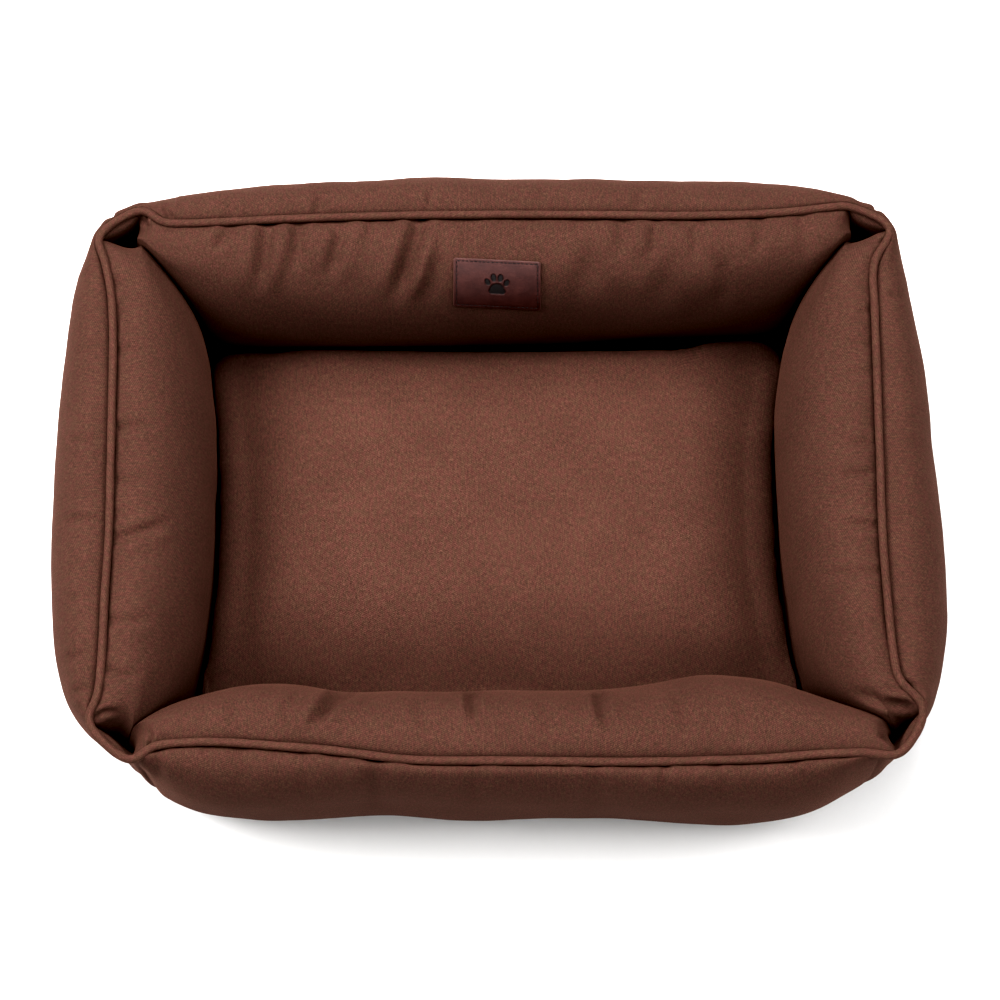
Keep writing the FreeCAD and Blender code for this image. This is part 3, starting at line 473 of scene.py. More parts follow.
# ------------------------------------------------------------------ folds
FOLDS = {
    "inner_back": [
        ([(421, 221), (413, 244), (403, 276), (392, 312)], 8.0, 3.0), ([(428, 250), (419, 276), (408, 304)], 7.5, -1.7),
        ([(342, 232), (336, 254), (329, 284)], 7.0, 2.0), ([(298, 226), (298, 248), (294, 275)], 6.5, 1.7),
        ([(268, 226), (264, 252), (260, 298)], 8.0, 2.2), ([(278, 240), (274, 268), (268, 300)], 7.0, -1.0),
        ([(230, 229), (221, 241), (214, 254)], 5.5, 1.7),
        ([(656, 223), (655, 240), (652, 264)], 6.5, 1.5), ([(696, 223), (696, 238), (700, 262)], 7.0, 1.5),
        ([(624, 222), (622, 240), (620, 262)], 7.5, 1.2), ([(592, 232), (590, 266), (586, 306)], 14.0, 1.6),
        ([(664, 250), (664, 284), (658, 318)], 13.0, 1.5), ([(722, 262), (724, 288), (718, 312)], 8.0, 1.0),
        ([(147, 212), (145, 222), (149, 229)], 2.4, 1.8), ([(800, 214), (806, 240), (800, 270)], 8, 1.0),
        ([(470, 226), (468, 240), (466, 252)], 7, 0.9), ([(372, 222), (370, 236), (366, 256)], 6, 1.0),
        ([(757, 218), (760, 236), (756, 262)], 7, 1.0),
    ],
    "inner_left": [
        ([(115, 428), (136, 426), (158, 430)], 5.0, 1.4), ([(114, 541), (140, 532), (178, 521)], 6.0, 2.0),
        ([(114, 350), (130, 352), (150, 349)], 6.0, 0.8), ([(108, 620), (130, 622), (160, 616)], 6.0, 1.0),
        ([(103, 668), (120, 676), (145, 672)], 5.0, 1.1), ([(110, 285), (125, 282), (145, 288)], 6, 0.9),
        ([(92, 719), (106, 712), (122, 712)], 3.0, 1.8), ([(113, 480), (130, 482), (150, 478)], 6, 0.8),
    ],
    "inner_right": [
        ([(873, 444), (858, 442), (842, 446)], 4.5, 1.3), ([(874, 473), (855, 474), (829, 479)], 5.0, 1.3),
        ([(880, 526), (860, 524), (836, 529)], 5.0, 1.4), ([(882, 572), (850, 573), (816, 578)], 5.0, 1.2),
        ([(911, 707), (880, 700), (843, 690)], 4.5, 2.6), ([(898, 690), (880, 690), (858, 693)], 4, 1.0),
        ([(872, 345), (858, 344), (840, 348)], 5, 0.9), ([(872, 372), (856, 373), (838, 370)], 5, 0.8),
        ([(886, 242), (874, 241), (862, 246)], 3.0, 1.4), ([(876, 310), (862, 312), (846, 310)], 5, 0.7),
    ],
    "inner_front": [
        ([(352, 690), (332, 702), (318, 722), (316, 738)], 6.0, 2.6), ([(331, 700), (316, 716), (306, 738)], 5.0, 1.6),
        ([(300, 694), (288, 712), (290, 734)], 6.0, 1.3),
        ([(471, 690), (472, 706), (478, 722)], 5.5, 2.6), ([(598, 690), (602, 710), (612, 736)], 5.5, 2.4),
        ([(545, 702), (548, 722), (552, 740)], 8.0, 1.0), ([(676, 690), (684, 712), (688, 742)], 7.0, 1.2),
        ([(420, 700), (424, 722), (420, 742)], 8.0, 1.1), ([(150, 745), (150, 735), (146, 728)], 2.6, 2.0),
        ([(740, 700), (744, 724), (740, 748)], 8, 0.9), ([(880, 735), (893, 742), (900, 752)], 3, 1.6),
        ([(240, 700), (236, 716), (238, 734)], 8, 0.8),
    ],
    "outer": [
        ([(320, 196), (319, 207), (321, 216)], 4.5, 1.5), ([(431, 190), (431, 203), (432, 212)], 4.0, 1.3),
        ([(164, 207), (168, 213), (175, 220)], 3.0, 1.6), ([(230, 200), (233, 210), (236, 219)], 6, 1.0),
        ([(70, 440), (88, 441), (108, 438)], 5.0, 1.2), ([(66, 522), (84, 520), (105, 524)], 5.0, 1.4),
        ([(74, 692), (84, 690), (96, 696)], 4.0, 1.3), ([(68, 660), (82, 655), (98, 662)], 5.0, 1.1),
        ([(70, 600), (86, 598), (102, 600)], 6.0, 0.8), ([(78, 350), (92, 352), (108, 348)], 6, 0.8),
        ([(884, 300), (900, 296), (908, 300)], 5, 0.8), ([(888, 420), (908, 422), (922, 418)], 6, 0.7),
        ([(890, 520), (912, 518), (932, 522)], 6, 0.9), ([(893, 610), (915, 608), (938, 612)], 6, 0.9),
        ([(905, 684), (920, 690), (925, 702)], 4, 1.3),
        ([(136, 768), (146, 775), (152, 786)], 3.5, 1.6), ([(160, 750), (158, 770), (162, 790)], 6.0, 1.2),
        ([(240, 746), (242, 770), (240, 800)], 9.0, 1.0), ([(300, 752), (304, 775), (300, 805)], 9.0, 1.1),
        ([(375, 758), (374, 785), (376, 815)], 11.0, 1.8), ([(470, 764), (474, 785), (472, 812)], 9.0, 0.9),
        ([(590, 764), (596, 785), (594, 812)], 9.0, 0.9), ([(667, 764), (664, 782), (670, 800)], 6.0, 1.3),
        ([(714, 764), (722, 782), (724, 800)], 6.0, 1.1), ([(790, 760), (800, 776), (806, 796)], 8.0, 1.0),
        ([(540, 200), (543, 190), (541, 182)], 6, 0.9), ([(640, 206), (642, 196), (640, 186)], 6, 0.8),
        ([(740, 206), (743, 196), (741, 188)], 6, 0.8),
    ],
}


def add_folds(P, key, N):
    px = to_frame(P)
    seen = ((CAM - P) * N).sum(-1) > 0
    d = np.zeros(P.shape[:-1])
    for line, width, depth in FOLDS[key]:
        d += stroke_field(px, line, width) * depth * {"inner_back": 1.95, "outer": 1.3}.get(key, 1.5)
    soft = smooth(((CAM - P) * N).sum(-1) / np.linalg.norm(CAM - P, axis=-1), 0.02, 0.25)
    return P + N * (d * soft * seen)[..., None]


def puckers(P, N, along, down, seed, amp=0.55, fall=26.0):
    """Small gathers that start at a seam and fade away from it, with a slow swell over the whole panel."""
    g = value_noise(along / 11.0, down / 60.0, seed) * 0.7 + value_noise(along / 5.2, down / 35.0, seed + 1) * 0.3
    f = np.exp(-down / fall) * smooth(down, 0, 5)
    slow = value_noise(along / 62.0 + 3.1, down / 48.0 + 1.7, seed + 2) * 1.5
    mid = value_noise(along / 23.0 + 8.1, down / 40.0 + 2.7, seed + 3) * 0.45
    keep = smooth(down, 0, 22)
    return P + N * (g * f * amp * 2.0 + (slow + mid) * keep)[..., None]


# ------------------------------------------------------------------ materials
def new_mat(name):
    m = bpy.data.materials.new(name)
    m.use_nodes = True
    nt = m.node_tree
    b = next(n for n in nt.nodes if n.type == "BSDF_PRINCIPLED")
    return m, nt, b


def lin(r, g, b):
    f = lambda c: (c / 255 / 12.92) if c / 255 <= 0.04045 else ((c / 255 + 0.055) / 1.055) ** 2.4
    return (f(r), f(g), f(b), 1.0)


def math_node(nt, op, a, b=None, c=None):
    n = nt.nodes.new("ShaderNodeMath")
    n.operation = op
    for i, v in enumerate((a, b, c)):
        if v is None:
            continue
        if isinstance(v, (int, float)):
            n.inputs[i].default_value = v
        else:
            nt.links.new(v, n.inputs[i])
    return n.outputs[0]


def noise_node(nt, vec, scale, detail=2.0, rough=0.5, mapping=None):
    if mapping is not None:
        mp = nt.nodes.new("ShaderNodeMapping")
        mp.inputs["Scale"].default_value = mapping
        nt.links.new(vec, mp.inputs["Vector"])
        vec = mp.outputs[0]
    n = nt.nodes.new("ShaderNodeTexNoise")
    n.noise_dimensions = "3D"
    n.inputs["Scale"].default_value = scale
    n.inputs["Detail"].default_value = detail
    n.inputs["Roughness"].default_value = rough
    nt.links.new(vec, n.inputs["Vector"])
    return n.outputs["Fac"]


def ramp_node(nt, fac, stops):
    n = nt.nodes.new("ShaderNodeValToRGB")
    el = n.color_ramp.elements
    while len(el) < len(stops):
        el.new(0.5)
    for e, (p, c) in zip(el, stops):
        e.position, e.color = p, c
    nt.links.new(fac, n.inputs["Fac"])
    return n.outputs["Color"]


def cloth_mat(name, base=(79.5, 60.6, 54.6), bias=0.0, gain=1.0, coords="cloth"):
    """Brushed twill of mixed yarn: fine slanting ribs, light and dark fibres along the grain, short nap."""
    m, nt, b = new_mat(name)
    uv = nt.nodes.new("ShaderNodeUVMap"); uv.uv_map = coords
    rot = nt.nodes.new("ShaderNodeMapping")
    rot.inputs["Rotation"].default_value[2] = bias
    nt.links.new(uv.outputs[0], rot.inputs["Vector"])
    vec = rot.outputs[0]
    # yarn specks, longer along the grain than across it
    fine = noise_node(nt, vec, 1.0, 3.0, 0.62, (1150.0, 500.0, 1.0))
    grain = noise_node(nt, vec, 1.0, 2.0, 0.5, (560.0, 200.0, 1.0))
    cross = noise_node(nt, vec, 1.0, 2.0, 0.5, (380.0, 900.0, 1.0))
    cloud = noise_node(nt, vec, 22.0, 3.0, 0.55)
    # twill ribs
    tw = nt.nodes.new("ShaderNodeMapping")
    tw.inputs["Rotation"].default_value[2] = bias + math.radians(63)
    nt.links.new(uv.outputs[0], tw.inputs["Vector"])
    wave = nt.nodes.new("ShaderNodeTexWave")
    wave.wave_type = "BANDS"; wave.bands_direction = "X"
    wave.inputs["Scale"].default_value = 235.0
    wave.inputs["Distortion"].default_value = 2.2
    wave.inputs["Detail"].default_value = 2.0
    wave.inputs["Detail Scale"].default_value = 2.2
    nt.links.new(tw.outputs[0], wave.inputs["Vector"])
    rib = wave.outputs["Fac"]
    a = math_node(nt, "MULTIPLY", fine, 0.50)
    a = math_node(nt, "MULTIPLY_ADD", grain, 0.24, a)
    a = math_node(nt, "MULTIPLY_ADD", cross, 0.12, a)
    a = math_node(nt, "MULTIPLY_ADD", rib, 0.10, a)
    a = math_node(nt, "MULTIPLY_ADD", cloud, 0.10, a)
    r, g, bl = base
    c0 = lin(r, g, bl)

    def tone(f, red=1.0, green=1.0, blue=1.0):
        return (c0[0] * f * gain * red, c0[1] * f * gain * green, c0[2] * f * gain * blue, 1)

    red_yarn = ramp_node(nt, a, [(0.34, tone(0.59)), (0.45, tone(0.895, 1.015, 0.97, 0.985)), (0.54, tone(1.07, 1.03, 0.96, 0.98)), (0.66, tone(1.44, 1.02, 0.98, 1.0))])
    olive_yarn = ramp_node(nt, a, [(0.34, tone(0.57)), (0.45, tone(0.88, 0.97, 1.02, 0.97)), (0.54, tone(1.05, 0.97, 1.035, 0.97)), (0.66, tone(1.47, 0.985, 1.04, 1.0))])
    hue = math_node(nt, "ADD", noise_node(nt, vec, 1.0, 3.0, 0.65, (330.0, 150.0, 1.0)), 0.0)
    pick = ramp_node(nt, hue, [(0.44, (0, 0, 0, 1)), (0.56, (1, 1, 1, 1))])
    mixed = nt.nodes.new("ShaderNodeMix"); mixed.data_type = "RGBA"
    nt.links.new(pick, mixed.inputs["Factor"]); nt.links.new(red_yarn, mixed.inputs["A"]); nt.links.new(olive_yarn, mixed.inputs["B"])
    col = mixed.outputs["Result"]
    nt.links.new(col, b.inputs["Base Color"])
    b.inputs["Roughness"].default_value = 0.92
    b.inputs["Specular IOR Level"].default_value = 0.18
    b.inputs["Sheen Weight"].default_value = 0.10
    b.inputs["Sheen Roughness"].default_value = 0.45
    b.inputs["Sheen Tint"].default_value = (0.80, 0.45, 0.34, 1)
    bump = nt.nodes.new("ShaderNodeBump")
    bump.inputs["Strength"].default_value = 0.40
    bump.inputs["Distance"].default_value = 0.0007
    h = math_node(nt, "MULTIPLY_ADD", rib, 0.35, math_node(nt, "MULTIPLY", fine, 0.9))
    h = math_node(nt, "MULTIPLY_ADD", grain, 0.3, h)
    nt.links.new(h, bump.inputs["Height"])
    nt.links.new(bump.outputs[0], b.inputs["Normal"])
    return m


MAT_CLOTH = cloth_mat("cushion_cloth_twill")
MAT_WALL_PAINTED_SHADE = cloth_mat("wall_cloth_twill_painted_shade", gain=0.86)  # the same cloth, toned down as painted shade, only so that the walls' shade comes out right
MAT_PIPE = cloth_mat("bed_cloth_bias", bias=math.radians(45), gain=0.93)


def leather_mat():
    m, nt, b = new_mat("dark_leather")
    uv = nt.nodes.new("ShaderNodeUVMap"); uv.uv_map = "cloth"
    inner_ = nt.nodes.new("ShaderNodeAttribute"); inner_.attribute_name = "inner"
    pressed_ = nt.nodes.new("ShaderNodeAttribute"); pressed_.attribute_name = "pressed"
    vor = nt.nodes.new("ShaderNodeTexVoronoi"); vor.feature = "DISTANCE_TO_EDGE"
    vor.inputs["Scale"].default_value = 1300.0
    nt.links.new(uv.outputs[0], vor.inputs["Vector"])
    cloud = noise_node(nt, uv.outputs[0], 90.0, 4.0, 0.6)
    fine = noise_node(nt, uv.outputs[0], 900.0, 3.0, 0.6)
    mix = math_node(nt, "MULTIPLY_ADD", cloud, 0.6, math_node(nt, "MULTIPLY", fine, 0.4))
    col = ramp_node(nt, mix, [(0.35, (0.036, 0.0150, 0.0135, 1)), (0.50, (0.049, 0.0200, 0.0178, 1)), (0.68, (0.068, 0.0290, 0.0255, 1))])
    e = nt.nodes.new("ShaderNodeMix"); e.data_type = "RGBA"
    e.inputs["A"].default_value = (0.092, 0.052, 0.045, 1)
    nt.links.new(col, e.inputs["B"])
    nt.links.new(ramp_node(nt, inner_.outputs["Fac"], [(0.30, (0, 0, 0, 1)), (0.75, (1, 1, 1, 1))]), e.inputs["Factor"])
    d = nt.nodes.new("ShaderNodeMix"); d.data_type = "RGBA"
    d.inputs["B"].default_value = (0.0130, 0.0100, 0.0100, 1)
    nt.links.new(pressed_.outputs["Fac"], d.inputs["Factor"])
    nt.links.new(e.outputs["Result"], d.inputs["A"])
    nt.links.new(d.outputs["Result"], b.inputs["Base Color"])
    nt.links.new(math_node(nt, "MULTIPLY_ADD", fine, 0.25, 0.34), b.inputs["Roughness"])
    b.inputs["Specular IOR Level"].default_value = 0.35
    bump = nt.nodes.new("ShaderNodeBump")
    bump.inputs["Strength"].default_value = 0.35
    bump.inputs["Distance"].default_value = 0.0002
    nt.links.new(math_node(nt, "MINIMUM", vor.outputs["Distance"], 0.08), bump.inputs["Height"])
    nt.links.new(bump.outputs[0], b.inputs["Normal"])
    return m


def thread_mat():
    m, nt, b = new_mat("dark_thread")
    uv = nt.nodes.new("ShaderNodeUVMap"); uv.uv_map = "cloth"
    w = nt.nodes.new("ShaderNodeTexWave"); w.inputs["Scale"].default_value = 900.0
    w.bands_direction = "DIAGONAL"
    nt.links.new(uv.outputs[0], w.inputs["Vector"])
    nt.links.new(ramp_node(nt, w.outputs["Fac"], [(0.2, (0.010, 0.007, 0.007, 1)), (0.8, (0.026, 0.017, 0.016, 1))]), b.inputs["Base Color"])
    b.inputs["Roughness"].default_value = 0.6
    bump = nt.nodes.new("ShaderNodeBump"); bump.inputs["Strength"].default_value = 0.6; bump.inputs["Distance"].default_value = 0.0002
    nt.links.new(w.outputs["Fac"], bump.inputs["Height"]); nt.links.new(bump.outputs[0], b.inputs["Normal"])
    return m


def weave_mat(name, c_lo, c_hi, scale=700.0, dots=False, rough=0.9):
    """Plain close weave; with dots, the beaded anti-slip print of a base cloth."""
    m, nt, b = new_mat(name)
    tc = nt.nodes.new("ShaderNodeUVMap"); tc.uv_map = "cloth"
    w1 = nt.nodes.new("ShaderNodeTexWave"); w1.bands_direction = "X"; w1.inputs["Scale"].default_value = scale; w1.inputs["Distortion"].default_value = 0.6
    w2 = nt.nodes.new("ShaderNodeTexWave"); w2.bands_direction = "Y"; w2.inputs["Scale"].default_value = scale; w2.inputs["Distortion"].default_value = 0.6
    for w in (w1, w2):
        nt.links.new(tc.outputs[0], w.inputs["Vector"])
    n = noise_node(nt, tc.outputs[0], 260.0, 3.0, 0.6)
    f = math_node(nt, "MULTIPLY_ADD", math_node(nt, "MAXIMUM", w1.outputs["Fac"], w2.outputs["Fac"]), 0.4, math_node(nt, "MULTIPLY", n, 0.6))
    col = ramp_node(nt, f, [(0.3, c_lo), (0.75, c_hi)])
    h = f
    if dots:
        v = nt.nodes.new("ShaderNodeTexVoronoi"); v.inputs["Scale"].default_value = 190.0; v.inputs["Randomness"].default_value = 0.0
        nt.links.new(tc.outputs[0], v.inputs["Vector"])
        dd = ramp_node(nt, v.outputs["Distance"], [(0.26, (1, 1, 1, 1)), (0.34, (0, 0, 0, 1))])
        mx = nt.nodes.new("ShaderNodeMix"); mx.data_type = "RGBA"
        nt.links.new(dd, mx.inputs["Factor"]); nt.links.new(col, mx.inputs["A"]); mx.inputs["B"].default_value = (0.030, 0.028, 0.028, 1)
        col = mx.outputs["Result"]
        h = math_node(nt, "MULTIPLY_ADD", dd, 3.0, f)
    nt.links.new(col, b.inputs["Base Color"])
    b.inputs["Roughness"].default_value = rough
    bump = nt.nodes.new("ShaderNodeBump"); bump.inputs["Strength"].default_value = 0.6; bump.inputs["Distance"].default_value = 0.0003
    nt.links.new(h, bump.inputs["Height"]); nt.links.new(bump.outputs[0], b.inputs["Normal"])
    return m


def metal_mat():
    m, nt, b = new_mat("zip_metal")
    tc = nt.nodes.new("ShaderNodeTexCoord")
    n = noise_node(nt, tc.outputs["Object"], 900.0, 3.0, 0.6)
    nt.links.new(ramp_node(nt, n, [(0.3, (0.10, 0.085, 0.075, 1)), (0.7, (0.19, 0.165, 0.15, 1))]), b.inputs["Base Color"])
    b.inputs["Metallic"].default_value = 1.0
    nt.links.new(math_node(nt, "MULTIPLY_ADD", n, 0.25, 0.25), b.inputs["Roughness"])
    return m


MAT_BASE = weave_mat("base_grip_cloth", (0.030, 0.028, 0.028, 1), (0.075, 0.070, 0.068, 1), 650.0, dots=True)
MAT_LINING = weave_mat("lining_cloth", (0.070, 0.045, 0.038, 1), (0.135, 0.092, 0.078, 1), 800.0)
MAT_TAPE = weave_mat("zip_tape_weave", (0.075, 0.046, 0.038, 1), (0.165, 0.108, 0.090, 1), 1100.0)
MAT_METAL = metal_mat()

# ------------------------------------------------------------------ pieces: outer panels
N = -grid_normals(outer, wrap=True)
check = (N[10, 40, :2] * RD[10]).sum()
if check < 0:
    N = -N
ring_len = np.r_[0, np.cumsum(np.linalg.norm(np.diff(outer[:, 30, :2], axis=0), axis=1))]
down_len = np.concatenate([np.zeros((NS, 1)), np.cumsum(np.linalg.norm(np.diff(outer, axis=1), axis=-1), 1)], 1)
along = np.broadcast_to(ring_len[:, None], down_len.shape)
outer = puckers(outer, N, along, down_len, 31, amp=0.5)
outer = outer - N * (2.3 * np.exp(-(down_len / 4.6) ** 2))[..., None]
outer = add_folds(outer, "outer", N)
outer[..., 2] = np.maximum(outer[..., 2], 0.9)

# cut the ring into the four panels at the middle of each corner
cuts = {}
for tag, c in (("BR", (1, 1)), ("FR", (1, -1)), ("FL", (-1, -1)), ("BL", (-1, 1))):
    m = np.array(MIDS[tag])
    cuts[tag] = int(((ring_xy(r_p) - m) ** 2).sum(1).argmin())
# a corner seam runs down from the piping where two panels meet
for tag, i0 in cuts.items():
    di = (np.arange(NS) - i0 + NS // 2) % NS - NS // 2
    dist = np.abs(di)[:, None] * np.ones((1, outer.shape[1]))
    step = np.linalg.norm(np.roll(outer, -1, 0) - outer, axis=-1)
    arc = dist * step[i0][None]
    wgt = smooth(down_len, 4, 14)
    outer = outer + N * ((-2.2 * np.exp(-(arc / 2.2) ** 2) + 1.0 * np.exp(-((arc - 6) / 4.5) ** 2)) * wgt)[..., None]


def take(i0, i1):
    return np.arange(i0, i1 + 1) % NS if i1 > i0 else np.arange(i0, i1 + NS + 1) % NS


for side, (c0, c1) in {"back": ("BL", "BR"), "right": ("BR", "FR"), "front": ("FR", "FL"), "left": ("FL", "BL")}.items():
    idx = take(cuts[c0], cuts[c1])
    P = outer[idx]
    o = mesh_of(f"outer_cover_{side}", P.reshape(-1, 3), grid_faces(*P.shape[:2], flip=True),
                grid_uv(P).reshape(-1, 2), mat=MAT_WALL_PAINTED_SHADE)
    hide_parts(f"outer_panel_{side}", f"wall_filling_{side}")

# ------------------------------------------------------------------ pieces: inner panels
for side, P in inner.items():
    n = grid_normals(P)
    mid = P.shape[0] // 2
    inward = -P[mid, 20, :2]
    if (n[mid, 46, :2] * inward).sum() < 0:
        n = -n
    flip = (np.cross(P[mid + 1, 46] - P[mid, 46], P[mid, 47] - P[mid, 46]) @ n[mid, 46]) < 0
    # ease kinks out of the grid, with its edges held
    for _ in range(6):
        Q = P.copy()
        Q[1:-1, 1:-1] += 0.35 * ((P[2:, 1:-1] + P[:-2, 1:-1] + P[1:-1, 2:] + P[1:-1, :-2]) / 4 - P[1:-1, 1:-1])
        P = Q
    uv = grid_uv(P)
    ends = smooth(np.minimum(np.arange(P.shape[0]), np.arange(P.shape[0])[::-1]), 26, 60)[:, None]
    Q = puckers(P, n, uv[..., 0] + 500, uv[..., 1], {"back": 61, "left": 71, "front": 81, "right": 91}[side], amp=0.6)
    P = P + (Q - P) * ends[..., None]
    P = P - n * (2.3 * np.exp(-(uv[..., 1] / 4.6) ** 2) * np.clip(ends, 0.15, 1))[..., None]
    P = add_folds(P, f"inner_{side}", n)
    inner[side] = P
    o = mesh_of(f"inner_cover_{side}", P.reshape(-1, 3), grid_faces(*P.shape[:2], flip=bool(flip)),
                uv.reshape(-1, 2), mat=MAT_WALL_PAINTED_SHADE)
    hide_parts(f"inner_panel_{side}")

# ------------------------------------------------------------------ piece: leather tag
PB = inner["back"]
# a smooth patch of the rear wall where the tag lies
TAG_PX = np.array([[453.0, 257.5], [541.0, 261.5], [453.0, 305.0], [541.0, 309.0]])  # two upper, two lower corners
pxb = to_frame(PB)
sel = (np.abs(PB[..., 0]) < 60) & (pxb[..., 1] > 235) & (pxb[..., 1] < 330)
nb = grid_normals(PB)
sel &= ((CAM - PB) * nb * (1 if (nb[PB.shape[0] // 2, 46, 1] < 0) else -1)).sum(-1) > 0
U, W_ = (pxb[sel] - [497, 283]).T / 50.0
basis = lambda u, w: np.stack([np.ones_like(u), u, w, u * u, u * w, w * w, w ** 3, u * w * w], -1)
coef, *_ = np.linalg.lstsq(basis(U, W_), PB[sel], rcond=None)


def on_wall(u, w):
    """Wall point for a place in the frame, on the smoothed patch."""
    return basis((u - 497) / 50.0, (w - 283) / 50.0) @ coef


NA, NB_ = 150, 86
ua, wb = np.meshgrid(np.linspace(0, 1, NA), np.linspace(0, 1, NB_), indexing="ij")
px0 = (1 - wb)[..., None] * ((1 - ua)[..., None] * TAG_PX[0] + ua[..., None] * TAG_PX[1]) + wb[..., None] * (
    (1 - ua)[..., None] * TAG_PX[2] + ua[..., None] * TAG_PX[3])
T0 = on_wall(px0[..., 0], px0[..., 1])
tn = grid_normals(T0)
if (tn[75, 40] @ (CAM - T0[75, 40])) < 0:
    tn = -tn
LA = np.linalg.norm(T0[1:, NB_ // 2] - T0[:-1, NB_ // 2], axis=1).sum()
LB = np.linalg.norm(T0[NA // 2, 1:] - T0[NA // 2, :-1], axis=1).sum()
xm, ym = (ua - 0.5) * LA, (0.5 - wb) * LB  # millimetres on the leather, y up
# rounded corners: pull the outline in
rc = 2.2
ax, ay = np.abs(xm), np.abs(ym)
edge_d = np.minimum(LA / 2 - ax, LB / 2 - ay)
LIFT, THICK = 0.9, 1.7
round_over = np.sqrt(np.clip(1 - (1 - np.clip(edge_d / 0.9, 0, 1)) ** 2, 0, 1))
h = LIFT + THICK * (0.35 + 0.65 * round_over)
# pressed line beside the edge and a groove under the stitches
h -= 0.16 * np.exp(-((edge_d - 2.5) / 0.55) ** 2)


def disc(cx, cy, rx, ry, turn=0.0):
    c, s_ = math.cos(turn), math.sin(turn)
    dx, dy = xm - cx, ym - cy
    return np.sqrt(((dx * c + dy * s_) / rx) ** 2 + ((-dx * s_ + dy * c) / ry) ** 2)


# a plain paw, pressed into the leather
paw = np.full_like(xm, 9.0)
paw = np.minimum(paw, disc(0, -3.6, 5.6, 4.4))
paw = np.minimum(paw, disc(-3.6, -5.4, 2.9, 2.6)); paw = np.minimum(paw, disc(3.6, -5.4, 2.9, 2.6))
for cx, cy, rx, ry, tr in ((-7.2, 1.6, 2.0, 2.9, 0.45), (-2.6, 5.2, 2.1, 3.2, 0.12), (2.6, 5.2, 2.1, 3.2, -0.12), (7.2, 1.6, 2.0, 2.9, -0.45)):
    paw = np.minimum(paw, disc(cx, cy, rx, ry, tr))
pressed = 1 - smooth(paw, 0.82, 1.12)
h -= 0.42 * pressed
h += 0.10 * np.exp(-((paw - 1.2) / 0.12) ** 2)
h += 0.05 * value_noise(xm / 1.3 + 40, ym / 1.3 + 40, 51) * (1 - pressed)
front_face = T0 + tn * h[..., None]
# outline rounding at the four corners
over_x, over_y = np.clip(ax - (LA / 2 - rc), 0, None), np.clip(ay - (LB / 2 - rc), 0, None)
rr = np.hypot(over_x, over_y)
shrink = np.where(rr > 1e-6, np.minimum(1.0, np.maximum(over_x, over_y) / np.maximum(rr, 1e-6)), 1.0)
ex = (T0[-1, NB_ // 2] - T0[0, NB_ // 2]); ex /= np.linalg.norm(ex)
ey = (T0[NA // 2, 0] - T0[NA // 2, -1]); ey /= np.linalg.norm(ey)
move = (np.sign(xm) * over_x * (shrink - 1))[..., None] * ex + (np.sign(ym) * over_y * (shrink - 1))[..., None] * ey
front_face = front_face + move
rear_face = T0 + tn * (LIFT - 0.55) + move
rim = []
ids = np.arange(NA * NB_).reshape(NA, NB_)
loop = np.r_[ids[:-1, 0], ids[-1, :-1], ids[:0:-1, -1], ids[0, :0:-1]]
vt = np.vstack([front_face.reshape(-1, 3), rear_face.reshape(-1, 3)[loop]])
fs = [list(f) for f in grid_faces(NA, NB_)]
v0, v1, v2 = vt[fs[4000][0]], vt[fs[4000][1]], vt[fs[4000][2]]
turn = np.cross(v1 - v0, v2 - v0) @ tn[75, 40] < 0
if turn:
    fs = [f[::-1] for f in fs]
n0, nl = NA * NB_, len(loop)
for q in range(nl):
    a_, b_, c_, d_ = loop[q], loop[(q + 1) % nl], n0 + (q + 1) % nl, n0 + q
    f = [a_, d_, c_, b_]
    fs.append(f if not turn else f[::-1])
fs.append([n0 + q for q in range(nl)] if not turn else [n0 + q for q in range(nl)][::-1])
uvt = np.vstack([np.stack([xm, ym], -1).reshape(-1, 2), np.stack([xm, ym], -1).reshape(-1, 2)[loop]])
edge_attr = np.r_[np.clip(edge_d / 1.2, 0, 1).ravel(), np.zeros(nl)]
paw_attr = np.r_[pressed.ravel(), np.zeros(nl)]
tag = mesh_of("leather_patch", vt, fs, uvt, mat=leather_mat(), attrs={"inner": edge_attr, "pressed": paw_attr})
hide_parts("leather_tag")

# stitches: one short slanting loop of thread each
sx_, sy_ = LA / 2 - 2.5, LB / 2 - 2.5
marks = []
nx_, ny_ = int(round(2 * sx_ / 3.3)), int(round(2 * sy_ / 3.3))
for q in range(nx_):
    c = -sx_ + (q + 0.5) * 2 * sx_ / nx_
    marks += [(c, sy_, 1, 0), (c, -sy_, 1, 0)]
for q in range(ny_):
    c = -sy_ + (q + 0.5) * 2 * sy_ / ny_
    marks += [(sx_, c, 0, 1), (-sx_, c, 0, 1)]


def leather_point(x, y):
    u = x / LA + 0.5; w = 0.5 - y / LB
    p = (1 - w) * ((1 - u) * TAG_PX[0] + u * TAG_PX[1]) + w * ((1 - u) * TAG_PX[2] + u * TAG_PX[3])
    return on_wall(np.array(p[0]), np.array(p[1]))


